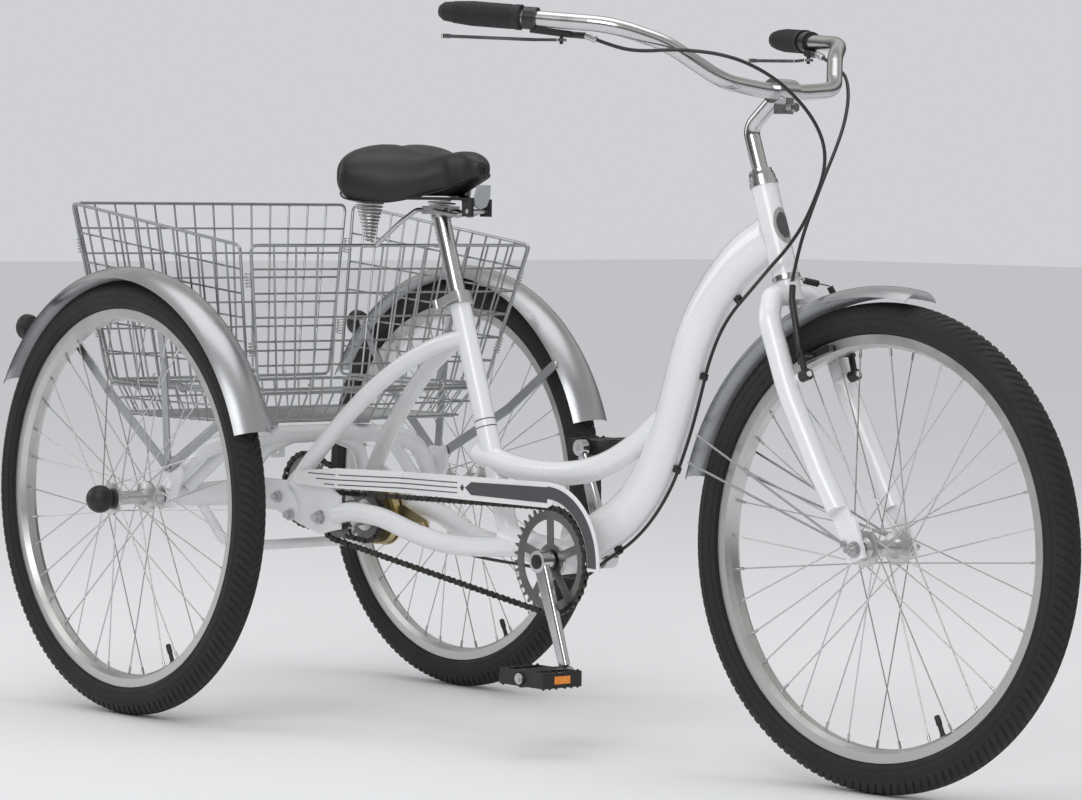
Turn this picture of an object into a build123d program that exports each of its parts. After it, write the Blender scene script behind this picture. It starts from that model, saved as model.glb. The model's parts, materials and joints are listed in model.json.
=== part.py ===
from build123d import *
import os
from math import atan2, cos, pi, radians, sin, sqrt, tan

# Adult tricycle: step-through frame, one front wheel, two rear wheels on one axle,
# wire basket, two-stage chain drive with a jackshaft, front rim brake, rear band brake.
# Frame of reference: +X forward, +Y to the rider's left, +Z up, millimetres.
# The origin is on the ground, in the mid-plane, straight below the rear axle.

os.makedirs("parts", exist_ok=True)

# Driving dimensions
TYRE_RADIUS = 330.0
TYRE_HALF_WIDTH = 25.0
RIM_OUTER = 287.0
RIM_INNER = 269.0
RIM_HALF_WIDTH = 15.0
WHEELBASE = 1279.5
HALF_TRACK = 327.0
REST_STEER = 4.27
SPOKES = 36
AXLE_RADIUS = 7.5
RUNNING = 0.05

HEAD_TOP = Vector(1045, 0, 812)
HEAD_DOWN = Vector(45, 0, -122).normalized()
HEAD_UP = HEAD_DOWN * -1
HEAD_FORWARD = Vector(122, 0, 45).normalized()
HEAD_LENGTH = 130.0
HEAD_AXIS = Axis(HEAD_TOP, HEAD_UP)

SEAT_TOP = Vector(384, 0, 646)
SEAT_DOWN = Vector(137, 0, -384).normalized()
SEAT_UP = SEAT_DOWN * -1
SEAT_FORWARD = Vector(384, 0, 137).normalized()
POST_RADIUS = 12.7

CRANK_CENTRE = Vector(656, 0, 269)
CRANK_LENGTH = 172.0
CRANK_ANGLE = 24.8
JACKSHAFT = Vector(152, 0, 300)
REAR_AXLE = Vector(0, 0, TYRE_RADIUS)
FRONT_AXLE = Vector(WHEELBASE, 0, TYRE_RADIUS)
CHAIN_PITCH = 12.7
RING_TEETH = 38
COG_TEETH = 18
DRIVE_TEETH = 20
AXLE_TEETH = 28
CHAIN1_Y = -45.0
CHAIN2_Y = 12.0
PLATE_INNER = 70.0
PLATE_OUTER = 77.0
CARRIAGE_OUTER = 83.0

BAR_RADIUS = 11.1
BAR_CENTRE = Vector(1072, 0, 943)


def at_fork(along, forward, side=0.0):
    """A point given along the head axis from its top, ahead of it, and to the left."""
    return HEAD_TOP + HEAD_DOWN * along + HEAD_FORWARD * forward + Vector(0, side, 0)


def at_seat(along, forward, side=0.0):
    """A point given along the seat tube from its top, ahead of it, and to the left."""
    return SEAT_TOP + SEAT_DOWN * along + SEAT_FORWARD * forward + Vector(0, side, 0)


def save(piece, name, turned=False):
    """Labels a finished piece and writes it; what steers is swung to the resting angle."""
    solid = piece.part.rotate(HEAD_AXIS, REST_STEER) if turned else piece.part
    solid.label = name
    export_step(solid, f"parts/{name}.step")
    return solid


def rod(points, radius, bend=20.0, mode=Mode.ADD):
    """A round bar along straight runs joined by bends, added to the piece being built."""
    with BuildLine() as path:
        if len(points) == 2:
            Line(*points)
        else:
            FilletPolyline(*points, radius=bend)
    with BuildSketch(Plane(path.line @ 0, z_dir=path.line % 0)) as end:
        Circle(radius)
    sweep(end.sketch, path=path.line, mode=mode)


def loop(points, radius, bend):
    """A round bar bent into a closed frame."""
    with BuildLine() as path:
        FilletPolyline(*points, radius=bend, close=True)
    with BuildSketch(Plane(path.line @ 0, z_dir=path.line % 0)) as end:
        Circle(radius)
    sweep(end.sketch, path=path.line)


def easy_bends(points, share=0.45):
    """The largest bend at each corner that leaves both neighbouring runs a straight part."""
    spots = [Vector(*p) for p in points]
    radii = []
    for before, corner, after in zip(spots, spots[1:], spots[2:]):
        run_in = corner - before
        run_out = after - corner
        turn = radians(run_in.get_angle(run_out))
        shorter = min(run_in.length, run_out.length)
        radii.append(share * shorter / tan(turn / 2))
    return radii


def lathe(origin, axis, outline, mode=Mode.ADD):
    """Turns an outline of (radius, distance along the axis) points round the axis."""
    along = Vector(*axis).normalized()
    across = Vector(1, 0, 0) if abs(along.X) < 0.5 else Vector(0, 0, 1)
    across = (across - along * across.dot(along)).normalized()
    with BuildSketch(Plane(origin, x_dir=across, z_dir=across.cross(along))) as half:
        with BuildLine():
            Polyline(*outline, close=True)
        make_face()
    revolve(half.sketch, axis=Axis(origin, along), mode=mode)


def tube(origin, axis, outer, start, end, inner=0.0, mode=Mode.ADD):
    """A straight ring, bush or pin between two distances along an axis."""
    lathe(origin, axis, [(inner, start), (outer, start), (outer, end), (inner, end)], mode)


def hexagon(origin, axis, across_corners, start, end, bore=0.0):
    """A hexagon nut or bolt head between two distances along an axis."""
    along = Vector(*axis).normalized()
    with BuildSketch(Plane(origin + along * start, z_dir=along)) as flat:
        RegularPolygon(across_corners / 2, 6)
        if bore:
            Circle(bore, mode=Mode.SUBTRACT)
    extrude(flat.sketch, amount=end - start)


def side_plate(outline, start, end, corner=0.0, mode=Mode.ADD):
    """A flat plate that stands fore and aft, from an outline of (x, z) points."""
    with BuildSketch(Plane((0, start, 0), x_dir=(1, 0, 0), z_dir=(0, -1, 0))) as face:
        with BuildLine():
            Polyline(*outline, close=True)
        make_face()
        if corner:
            fillet(face.vertices(), corner)
    extrude(face.sketch, amount=start - end, mode=mode)


def flat_bar(start, end, width, thickness, side=(0, 1, 0)):
    """A straight bar of rectangular section; side is the way its thickness lies."""
    run = end - start
    with BuildSketch(Plane(start, x_dir=side, z_dir=run.normalized())) as section:
        Rectangle(thickness, width)
    extrude(section.sketch, amount=run.length)


def pitch_radius(teeth):
    return CHAIN_PITCH / (2 * sin(pi / teeth))


def sprocket(centre, teeth, bore, phase=0.0, thickness=2.4):
    """A toothed chain wheel that turns about Y."""
    pitch = pitch_radius(teeth)
    middle = Plane(centre - Vector(0, thickness / 2, 0), x_dir=(1, 0, 0), z_dir=(0, -1, 0))
    with BuildSketch(middle) as face:
        Circle(pitch - 4.2)
        with PolarLocations(pitch - 4.6, teeth, start_angle=phase):
            Polygon((0, -3.0), (5.6, -2.0), (8.4, -0.7), (8.4, 0.7), (5.6, 2.0), (0, 3.0), align=None)
        Circle(bore, mode=Mode.SUBTRACT)
    extrude(face.sketch, amount=-thickness)


# ---------------------------------------------------------------- wheels
def make_tyre(centre, name, turned=False):
    """Balloon tyre with its two bead feet between the rim's walls."""
    with BuildPart() as tyre:
        with BuildSketch(Plane(centre, x_dir=(1, 0, 0), z_dir=(0, 0, 1))) as half:
            with BuildLine():
                neck = RIM_OUTER + 1
                foot = RIM_OUTER - 6
                crown = TYRE_RADIUS - TYRE_HALF_WIDTH
                left = ThreePointArc((neck, 14.5), (crown, TYRE_HALF_WIDTH), (TYRE_RADIUS, 0))
                right = ThreePointArc((TYRE_RADIUS, 0), (crown, -TYRE_HALF_WIDTH), (neck, -14.5))
                Polyline(right @ 1, (neck, -11.5), (foot, -11.5), (foot, 11.5), (neck, 11.5), left @ 0)
            make_face()
        revolve(half.sketch, axis=Axis(centre, (0, 1, 0)))
    return save(tyre, name, turned)


def make_rim(centre, name, turned=False):
    """Box-section alloy rim with an open well for the tyre's beads."""
    wall = RIM_HALF_WIDTH
    outline = [
        (RIM_INNER, -7), (RIM_INNER + 5, -wall), (RIM_OUTER, -wall), (RIM_OUTER, -wall + 3),
        (RIM_OUTER - 9, -wall + 3), (RIM_OUTER - 9, wall - 3), (RIM_OUTER, wall - 3),
        (RIM_OUTER, wall), (RIM_INNER + 5, wall), (RIM_INNER, 7),
    ]
    with BuildPart() as rim:
        lathe(centre, (0, 1, 0), outline)
    return save(rim, name, turned)


def make_spokes(centre, flanges, name, turned=False):
    """Crossed spokes with their nipples, from two hub flanges to the rim."""
    hub_radius = 20.5
    lean = 62.0
    with BuildPart() as spokes:
        for number in range(SPOKES):
            side = number % 2
            leading = (number // 2) % 2
            rim_angle = 360.0 * number / SPOKES
            hub_angle = rim_angle + (lean if leading else -lean)
            skew = 2.6 if leading == side else -2.6
            hub_end = centre + Vector(
                hub_radius * cos(radians(hub_angle)), flanges[side] + skew,
                hub_radius * sin(radians(hub_angle))
            )
            outward = Vector(cos(radians(rim_angle)), 0, sin(radians(rim_angle)))
            rim_end = centre + outward * (RIM_INNER + 2) + Vector(0, 3 if side else -3, 0)
            tube(hub_end, rim_end - hub_end, 0.95, 0, (rim_end - hub_end).length)
            tube(rim_end, hub_end - rim_end, 2.0, 0, 13)
    return save(spokes, name, turned)


HUB_INNER_FLANGE = 294.0
HUB_OUTER_FLANGE = 359.0
FRONT_FLANGE = 33.0

for side, sign in (("left", 1), ("right", -1)):
    middle = Vector(0, sign * HALF_TRACK, TYRE_RADIUS)
    make_tyre(middle, f"rear_tyre_{side}")
    make_rim(middle, f"rear_rim_{side}")
    make_spokes(
        middle,
        sorted((sign * HUB_INNER_FLANGE - sign * HALF_TRACK, sign * HUB_OUTER_FLANGE - sign * HALF_TRACK)),
        f"rear_spokes_{side}",
    )
    bore = AXLE_RADIUS if side == "left" else AXLE_RADIUS + RUNNING
    with BuildPart() as rear_hub:
        lathe(REAR_AXLE, (0, sign, 0), [
            (bore, 280), (14, 280), (14, 288), (24, 291), (24, 297), (13, 300), (10.5, 306),
            (10.5, 348), (14, 353), (24, 356), (24, 362), (13, 363.5), (bore, 363.5),
        ])
    save(rear_hub, f"rear_hub_{side}")

with BuildPart() as dust_caps:
    for sign in (-1, 1):
        with Locations(REAR_AXLE + Vector(0, sign * 380, 0)):
            Sphere(21)
        tube(REAR_AXLE, (0, sign, 0), 30, 340, 364, mode=Mode.SUBTRACT)
        tube(REAR_AXLE, (0, sign, 0), 12, 350, 387, mode=Mode.SUBTRACT)
save(dust_caps, "dust_caps")

make_tyre(FRONT_AXLE, "front_tyre", True)
make_rim(FRONT_AXLE, "front_rim", True)
make_spokes(FRONT_AXLE, (-FRONT_FLANGE, FRONT_FLANGE), "front_spokes", True)

FRONT_AXLE_RADIUS = 4.5
with BuildPart() as front_hub:
    bore = FRONT_AXLE_RADIUS + RUNNING
    lathe(FRONT_AXLE, (0, 1, 0), [
        (bore, -44), (12, -44), (14, -40), (16, -37), (24, -36), (24, -30), (14, -27), (11, -20),
        (11, 20), (14, 27), (24, 30), (24, 36), (16, 37), (14, 40), (12, 44), (bore, 44),
    ])
save(front_hub, "front_hub", True)

with BuildPart() as front_axle:
    tube(FRONT_AXLE, (0, 1, 0), FRONT_AXLE_RADIUS, -74, 74)
    for sign in (-1, 1):
        tube(FRONT_AXLE, (0, sign, 0), 9, 44.3, 49.8, FRONT_AXLE_RADIUS)
        tube(FRONT_AXLE, (0, sign, 0), 11, 56.2, 58.2, FRONT_AXLE_RADIUS)
        hexagon(FRONT_AXLE, (0, sign, 0), 17, 58.2, 66, FRONT_AXLE_RADIUS)
save(front_axle, "front_axle", True)

# ---------------------------------------------------------------- main frame
DOWN_TUBE = [
    (1062, 0, 744), (1000, 0, 712), (940, 0, 652), (903, 0, 590), (882, 0, 525), (858, 0, 462),
    (825, 0, 397), (772, 0, 342), (700, 0, 304), (652, 0, 288),
]
STEP_TUBE = [
    (440, 0, 412), (520, 0, 394), (600, 0, 390), (670, 0, 396), (730, 0, 412), (790, 0, 442), (850, 0, 486)
]
BEAM = [(505, 0, 290), (560, 0, 280), (650, 0, 270)]
AXLE_PLATE = [
    (40, 304), (40, 350), (66, 352), (90, 372), (118, 372), (196, 334), (196, 284), (150, 274), (100, 286)
]

with BuildPart() as main_frame:
    with BuildLine() as down_path:
        FilletPolyline(*DOWN_TUBE, radius=easy_bends(DOWN_TUBE))
    section_plane = Plane(down_path.line @ 0, x_dir=(0, 1, 0), z_dir=down_path.line % 0)
    with BuildSketch(section_plane) as down_section:
        Ellipse(22, 33)
    sweep(down_section.sketch, path=down_path.line)
    rod(STEP_TUBE, 18, easy_bends(STEP_TUBE))
    rod(BEAM, 22, 200)
    tube(SEAT_TOP, SEAT_DOWN, 15.9, 0, 385)
    tube(HEAD_TOP, HEAD_DOWN, 18.5, 0, HEAD_LENGTH)
    tube(CRANK_CENTRE, (0, 1, 0), 21, -34, 34)
    for sign in (-1, 1):
        # chainstay, seat stay and axle plate of each side
        stay = [
            (186, 72, 306), (215, 68, 313), (277, 58, 309), (345, 48, 287), (420, 38, 274), (490, 20, 276),
            (540, 6, 280)
        ]
        stay = [(x, sign * y, z) for x, y, z in stay]
        rod(stay, 15, easy_bends(stay))
        seat_stay = [
            (84, 72.5, 345), (104, 68, 374), (168, 53, 444), (232, 41, 500), (292, 28, 541), (352, 14, 570),
            (408, 4, 584)
        ]
        seat_stay = [(x, sign * y, z) for x, y, z in seat_stay]
        rod(seat_stay, 13, easy_bends(seat_stay))
        side_plate(AXLE_PLATE, sign * PLATE_INNER, sign * PLATE_OUTER)
    # the stays end flush with the plates' inner faces, so that the drive has room between them
    with Locations((100, 0, 305)):
        Box(185, 2 * PLATE_INNER, 95, mode=Mode.SUBTRACT)
    for y in (-1, 1):
        tube(JACKSHAFT, (0, y, 0), 6.05, 60, 100, mode=Mode.SUBTRACT)
        for x, z in ((54, 326), (86, 300)):
            tube(Vector(x, 0, z), (0, y, 0), 5.05, 60, 100, mode=Mode.SUBTRACT)
    tube(SEAT_TOP, SEAT_DOWN, POST_RADIUS + RUNNING, -5, 240, mode=Mode.SUBTRACT)
    tube(HEAD_TOP, HEAD_DOWN, 14.5, -5, HEAD_LENGTH + 5, mode=Mode.SUBTRACT)
    tube(CRANK_CENTRE, (0, 1, 0), 17, -40, 40, mode=Mode.SUBTRACT)
save(main_frame, "main_frame")

with BuildPart() as bearing_cups:
    tube(HEAD_TOP, HEAD_UP, 20, 0, 7, 12.75)
    tube(HEAD_TOP, HEAD_DOWN, 20, HEAD_LENGTH, HEAD_LENGTH + 7, 12.75)
    tube(HEAD_TOP, HEAD_DOWN, 14.5, 0, 10, 12.75)
    tube(HEAD_TOP, HEAD_DOWN, 14.5, HEAD_LENGTH - 10, HEAD_LENGTH, 12.75)
    for sign in (-1, 1):
        tube(CRANK_CENTRE, (0, sign, 0), 17, 24, 37, 8 + RUNNING)
        tube(CRANK_CENTRE, (0, sign, 0), 20, 34.2, 38, 17)
save(bearing_cups, "bearing_cups")

# ---------------------------------------------------------------- rear carriage
LUG_Y = -60.0
LUG_BORE = 3.2
with BuildPart() as rear_carriage:
    for sign in (-1, 1):
        lathe(
            REAR_AXLE, (0, sign, 0),
            [(9, 83), (22, 83), (22, 95), (15.5, 252), (20, 254), (20, 268), (9, 268)]
        )
        side_plate([(-22, 306), (-22, 352), (66, 352), (100, 318), (100, 290), (66, 304)],
                   sign * PLATE_OUTER, sign * CARRIAGE_OUTER)
        side_plate(
            [(-22, 312), (-26, 352), (2, 392), (40, 392), (46, 366), (22, 312)], sign * 258, sign * 263, 6
        )
    arch = [(8, -260, 340), (12, -246, 362), (24, -214, 396), (32, -165, 414), (32, -60, 420),
            (32, 60, 420), (32, 165, 414), (24, 214, 396), (12, 246, 362), (8, 260, 340)]
    rod(arch, 14, [30, 45, 60, 300, 300, 60, 45, 30])
    for sign in (-1, 1):
        rod([(30, sign * 42, 416), (28, sign * 92, 398), (10, sign * 124, 338)], 11, 40)
        rod([(31, sign * 150, 412), (8, sign * 226, 340)], 10)
    under = [(0, -196, 322), (0, -150, 258), (0, -112, 246), (0, 112, 246), (0, 150, 258), (0, 196, 322)]
    rod(under, 8, [40, 60, 60, 40])
    for sign in (-1, 1):
        tube(REAR_AXLE, (0, sign, 0), 9, 70, 280, mode=Mode.SUBTRACT)
        tube(REAR_AXLE, (0, sign, 0), 15, 258, 280, mode=Mode.SUBTRACT)
        tube(REAR_AXLE, (0, sign, 0), 15, 70, 92, mode=Mode.SUBTRACT)
        for x, z in ((54, 326), (86, 300)):
            tube(Vector(x, 0, z), (0, sign, 0), 5.05, 60, 100, mode=Mode.SUBTRACT)
    # a lug under the arch, drilled for a lamp
    with Locations((20, LUG_Y, 398)):
        Box(4, 24, 28)
    tube(Vector(20, LUG_Y, 392), (1, 0, 0), LUG_BORE, -5, 5, mode=Mode.SUBTRACT)
save(rear_carriage, "rear_carriage")

with BuildPart() as carriage_bolts:
    for sign in (-1, 1):
        for x, z in ((54, 326), (86, 300)):
            spot = Vector(x, 0, z)
            tube(spot, (0, sign, 0), 5, PLATE_INNER - 1, 96)
            hexagon(spot, (0, sign, 0), 18, CARRIAGE_OUTER, CARRIAGE_OUTER + 7, 5)
            hexagon(spot, (0, sign, 0), 18, PLATE_INNER - 7, PLATE_INNER)
save(carriage_bolts, "carriage_bolts")

with BuildPart() as axle_bearings:
    for sign in (-1, 1):
        tube(REAR_AXLE, (0, sign, 0), 15, 258, 268, AXLE_RADIUS + RUNNING)
        tube(REAR_AXLE, (0, sign, 0), 15, 83, 92, AXLE_RADIUS + RUNNING)
save(axle_bearings, "axle_bearings")

with BuildPart() as rear_axle:
    tube(REAR_AXLE, (0, 1, 0), AXLE_RADIUS, -384, 384)
    for sign in (-1, 1):
        hexagon(REAR_AXLE, (0, sign, 0), 21, 368, 376)
        tube(REAR_AXLE, (0, sign, 0), 13, 269, 279.5)
save(rear_axle, "rear_axle")

with BuildPart() as axle_sprocket:
    sprocket(REAR_AXLE + Vector(0, CHAIN2_Y, 0), AXLE_TEETH, AXLE_RADIUS, 90 + 180 / AXLE_TEETH)
    tube(REAR_AXLE, (0, 1, 0), 18, CHAIN2_Y + 1.2, CHAIN2_Y + 14, AXLE_RADIUS)
save(axle_sprocket, "axle_sprocket")

# ---------------------------------------------------------------- jackshaft and band brake
with BuildPart() as jackshaft_axle:
    tube(JACKSHAFT, (0, 1, 0), 6, -92, 92)
    for sign in (-1, 1):
        hexagon(JACKSHAFT, (0, sign, 0), 19, PLATE_OUTER + 1.5, PLATE_OUTER + 10)
        tube(JACKSHAFT, (0, sign, 0), 11, PLATE_OUTER, PLATE_OUTER + 1.5)
        tube(JACKSHAFT, (0, sign, 0), 9, 61.5, PLATE_INNER)
save(jackshaft_axle, "jackshaft_axle")

with BuildPart() as jackshaft_hub:
    lathe(JACKSHAFT, (0, 1, 0), [
        (6.05, -32), (20, -32), (20, -22), (16, -18), (16, CHAIN2_Y - 7), (24, CHAIN2_Y - 4),
        (24, CHAIN2_Y - 1.2),
        (16, CHAIN2_Y - 1.2), (16, 30), (6.05, 30),
    ])
save(jackshaft_hub, "jackshaft_hub")

with BuildPart() as freewheel_cog:
    sprocket(JACKSHAFT + Vector(0, CHAIN1_Y, 0), COG_TEETH, 22, 90 + 180 / COG_TEETH, 2.4)
    tube(JACKSHAFT, (0, 1, 0), 23, CHAIN1_Y - 8, CHAIN1_Y + 6, 6.05)
    tube(JACKSHAFT, (0, 1, 0), 23, CHAIN1_Y - 1.2, CHAIN1_Y + 1.2, 6.05)
save(freewheel_cog, "freewheel_cog")

with BuildPart() as drive_cog:
    sprocket(JACKSHAFT + Vector(0, CHAIN2_Y, 0), DRIVE_TEETH, 16, 90 + 180 / DRIVE_TEETH)
save(drive_cog, "drive_cog")

BAND_RADIUS = 42.0
with BuildPart() as brake_drum:
    lathe(JACKSHAFT, (0, 1, 0), [
        (6.05, 30), (BAND_RADIUS, 30), (BAND_RADIUS, 46), (38, 46), (38, 34), (14, 34), (14, 46), (6.05, 46),
    ])
save(brake_drum, "brake_drum")

BAND_PIVOT = Vector(262, 0, 288)
CABLE_EYE = BAND_PIVOT + Vector(34, 33, -12)
with BuildPart() as brake_band:
    tube(JACKSHAFT, (0, 1, 0), BAND_RADIUS + 4, 32, 44, BAND_RADIUS + 1.5)
    tube(JACKSHAFT, (0, 1, 0), 48, 47.5, 50, 9)
    for angle in (60, 155, 250):
        spot = Vector(45.4 * cos(radians(angle)), 0, 45.4 * sin(radians(angle)))
        tube(JACKSHAFT + spot, (0, 1, 0), 2.0, 43, 48)
    side_plate([(194, 282), (194, 316), (214, 318), (270, 298), (276, 284), (262, 276)], 36, 39)
    tube(BAND_PIVOT, (0, 1, 0), 3.5, 27, 39)
    hexagon(BAND_PIVOT, (0, 1, 0), 11, 24, 28)
    hexagon(BAND_PIVOT, (0, 1, 0), 11, 39, 43)
save(brake_band, "brake_band")

with BuildPart() as band_brake_arm:
    tube(BAND_PIVOT, (0, 1, 0), 8, 29, 35, 3.55)
    flat_bar(BAND_PIVOT + Vector(6, 32, -2), CABLE_EYE - Vector(0, 1, 0), 9, 4)
    tube(CABLE_EYE, (0, 1, 0), 5, -4, 3)
    tube(BAND_PIVOT, (0, 1, 0), 3.55, 25, 40, mode=Mode.SUBTRACT)
save(band_brake_arm, "band_brake_arm")

# ---------------------------------------------------------------- cranks and pedals
crank_way = Vector(sin(radians(CRANK_ANGLE)), 0, -cos(radians(CRANK_ANGLE)))
with BuildPart() as crank_spindle:
    tube(CRANK_CENTRE, (0, 1, 0), 8, -62, 62)
    tube(CRANK_CENTRE, (0, 1, 0), 9.5, -22, 22)
save(crank_spindle, "crank_spindle")

with BuildPart() as chainring:
    sprocket(CRANK_CENTRE + Vector(0, CHAIN1_Y, 0), RING_TEETH, 60, 90)
    with BuildSketch(
        Plane(CRANK_CENTRE + Vector(0, CHAIN1_Y - 1.2, 0), x_dir=(1, 0, 0), z_dir=(0, -1, 0))
    ) as spider:
        Circle(25)
        with PolarLocations(42, 5, start_angle=20):
            Rectangle(44, 13)
        Circle(8, mode=Mode.SUBTRACT)
    extrude(spider.sketch, amount=-2.4)
save(chainring, "chainring")

for side, sign in (("right", -1), ("left", 1)):
    way = crank_way * (1 if side == "right" else -1)
    eye = CRANK_CENTRE + way * CRANK_LENGTH
    with BuildPart() as crank_arm:
        tube(CRANK_CENTRE, (0, sign, 0), 16, 50, 72, 8)
        tube(eye, (0, sign, 0), 12, 68, 80, 5)
        with BuildSketch(
            Plane(CRANK_CENTRE + way * 9 + Vector(0, sign * 64, 0), x_dir=(0, 1, 0), z_dir=way)
        ) as root:
            RectangleRounded(13, 26, 4)
        with BuildSketch(
            Plane(CRANK_CENTRE + way * 160 + Vector(0, sign * 74, 0), x_dir=(0, 1, 0), z_dir=way)
        ) as tip:
            RectangleRounded(10.5, 18, 4)
        loft([root.sketch, tip.sketch])
        tube(CRANK_CENTRE, (0, sign, 0), 8, 40, 80, mode=Mode.SUBTRACT)
        tube(eye, (0, sign, 0), 5, 60, 90, mode=Mode.SUBTRACT)
    save(crank_arm, f"crank_arm_{side}")
    with BuildPart() as pedal:
        with Locations(eye + Vector(0, sign * 124, 0)):
            Box(96, 72, 22)
        for x in (-30, 30):
            with Locations(eye + Vector(x, sign * 124, 0)):
                Box(22, 60, 30, mode=Mode.SUBTRACT)
        tube(eye, (0, sign, 0), 13, 87, 160)
        tube(eye, (0, sign, 0), 5 + RUNNING, 70, 175, mode=Mode.SUBTRACT)
        tube(eye, (0, sign, 0), 9.5, 158, 175, mode=Mode.SUBTRACT)
        for x in (-1, 1):
            with Locations(eye + Vector(x * 47.2, sign * 124, 0)):
                Box(2.6, 30, 12, mode=Mode.SUBTRACT)
    save(pedal, f"pedal_{side}")
with BuildPart() as pedal_axles:
    for sign in (-1, 1):
        eye = CRANK_CENTRE - crank_way * CRANK_LENGTH * sign
        tube(eye, (0, sign, 0), 5, 68, 168)
        hexagon(eye, (0, sign, 0), 15, 80.2, 85)
        tube(eye, (0, sign, 0), 8, 162, 165)
save(pedal_axles, "pedal_axles")

# ---------------------------------------------------------------- chains and their guard
def belt(centre_a, radius_a, centre_b, radius_b, y, width, thickness):
    """A closed band round two wheels that turn about Y, the first wheel behind the second."""
    gap = Vector(centre_b.X - centre_a.X, 0, centre_b.Z - centre_a.Z)
    with BuildSketch(Plane((0, y - width / 2, 0), x_dir=(1, 0, 0), z_dir=(0, -1, 0))) as face:
        for grow, how in ((thickness / 2, Mode.ADD), (-thickness / 2, Mode.SUBTRACT)):
            slope = atan2(gap.Z, gap.X)
            spread = (radius_b - radius_a) / gap.length
            up = slope + pi / 2 + atan2(spread, sqrt(1 - spread**2))
            down = slope - pi / 2 - atan2(spread, sqrt(1 - spread**2))
            ends = []
            for angle, centre, radius in (
                (up, centre_a, radius_a), (up, centre_b, radius_b), (down, centre_b, radius_b),
                (down, centre_a, radius_a),
            ):
                reach = radius + grow
                ends.append((centre.X + reach * cos(angle), centre.Z + reach * sin(angle)))
            with BuildLine():
                Polyline(*ends, close=True)
            make_face(mode=how)
            for centre, radius in ((centre_a, radius_a), (centre_b, radius_b)):
                with Locations((centre.X, centre.Z)):
                    Circle(radius + grow, mode=how)
    extrude(face.sketch, amount=-width)


for name, centre_a, teeth_a, centre_b, teeth_b, y in (
    ("primary_chain", JACKSHAFT, COG_TEETH, CRANK_CENTRE, RING_TEETH, CHAIN1_Y),
    ("secondary_chain", REAR_AXLE, AXLE_TEETH, JACKSHAFT, DRIVE_TEETH, CHAIN2_Y),
):
    with BuildPart() as chain:
        for beside in (-2.9, 2.9):
            belt(centre_a, pitch_radius(teeth_a), centre_b, pitch_radius(teeth_b), y + beside, 1.6, 8)
    save(chain, name)

GUARD_Y = -51.0
GUARD_REAR_Y = -83.0
GUARD_TOP = 114.0
GUARD_INNER = 89.0
GUARD_SHEET = 2.0
with BuildPart() as chain_guard:
    with BuildSketch(Plane((0, -40, 0), x_dir=(1, 0, 0), z_dir=(0, -1, 0))) as guard_face:
        with Locations((CRANK_CENTRE.X, CRANK_CENTRE.Z)):
            Circle(GUARD_TOP)
            Circle(GUARD_INNER, mode=Mode.SUBTRACT)
        with Locations((CRANK_CENTRE.X - 200, CRANK_CENTRE.Z)):
            Rectangle(400, 400, mode=Mode.SUBTRACT)
        with Locations((CRANK_CENTRE.X + 50, CRANK_CENTRE.Z - 108)):
            Rectangle(200, 200, mode=Mode.SUBTRACT)
        with BuildLine():
            Polyline(
                (90, 352), (96, 368), (200, 378), (656, 383), (668, 380), (668, 352), (656, 346),
                (480, 346), (110, 348),
                close=True,
            )
        make_face()
    extrude(guard_face.sketch, amount=60)
    # the sheet steps outwards behind, so that it passes outside the stay
    with BuildSketch(Plane.XY.offset(200)) as sheet:
        with BuildLine():
            front = GUARD_Y - GUARD_SHEET
            rear = GUARD_REAR_Y - GUARD_SHEET
            Polyline(
                (60, GUARD_REAR_Y), (200, GUARD_REAR_Y), (320, GUARD_Y), (800, GUARD_Y), (800, front),
                (319.7, front),
                (199.7, rear), (60, rear), close=True,
            )
        make_face()
    extrude(sheet.sketch, amount=250, mode=Mode.INTERSECT)
    tube(Vector(150, 0, 358), (0, -1, 0), 5, PLATE_OUTER, -GUARD_REAR_Y)
    tube(Vector(484, 0, 362), (0, -1, 0), 5, 14, -GUARD_Y)
save(chain_guard, "chain_guard")

# ---------------------------------------------------------------- fork, stem and handlebar
FORK_LEG = [(157, 0, 6), (160, 0, 38), (192, 2, 57), (300, 8, 60), (420, 30, 60), (512, 50, 56)]
BRAKE_BOSS = (284, 22, 50)
PAD_ALONG = 255.0
with BuildPart() as fork:
    tube(HEAD_TOP, HEAD_DOWN, 12.7, -20, 150)
    tube(HEAD_TOP, HEAD_DOWN, 17, HEAD_LENGTH + 7.1, 168)
    for sign in (-1, 1):
        leg = [at_fork(s, f, sign * y) for s, f, y in FORK_LEG]
        rod(leg, 15.5, [16, 35, 300, 300])
        # brake boss on the front of the leg
        boss = at_fork(BRAKE_BOSS[0], BRAKE_BOSS[1], sign * BRAKE_BOSS[2])
        tube(boss, HEAD_FORWARD, 7, -16, 6)
        tube(boss, HEAD_FORWARD, 4, 0, 22)
        # drop-out plate that holds the axle
        with Locations(Plane(at_fork(519, 51, sign * 53), x_dir=HEAD_FORWARD, z_dir=HEAD_UP)):
            Box(30, 6, 58)
    tube(FRONT_AXLE, (0, 1, 0), 4.55, -70, 70, mode=Mode.SUBTRACT)
    for sign in (-1, 1):
        tube(at_fork(519, 51), (0, sign, 0), 45, 56.1, 90, mode=Mode.SUBTRACT)
        tube(at_fork(519, 51), (0, sign, 0), 45, 20, 49.9, mode=Mode.SUBTRACT)
    tube(HEAD_TOP, HEAD_DOWN, 11.15, -30, 120, mode=Mode.SUBTRACT)
save(fork, "fork", True)

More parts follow.
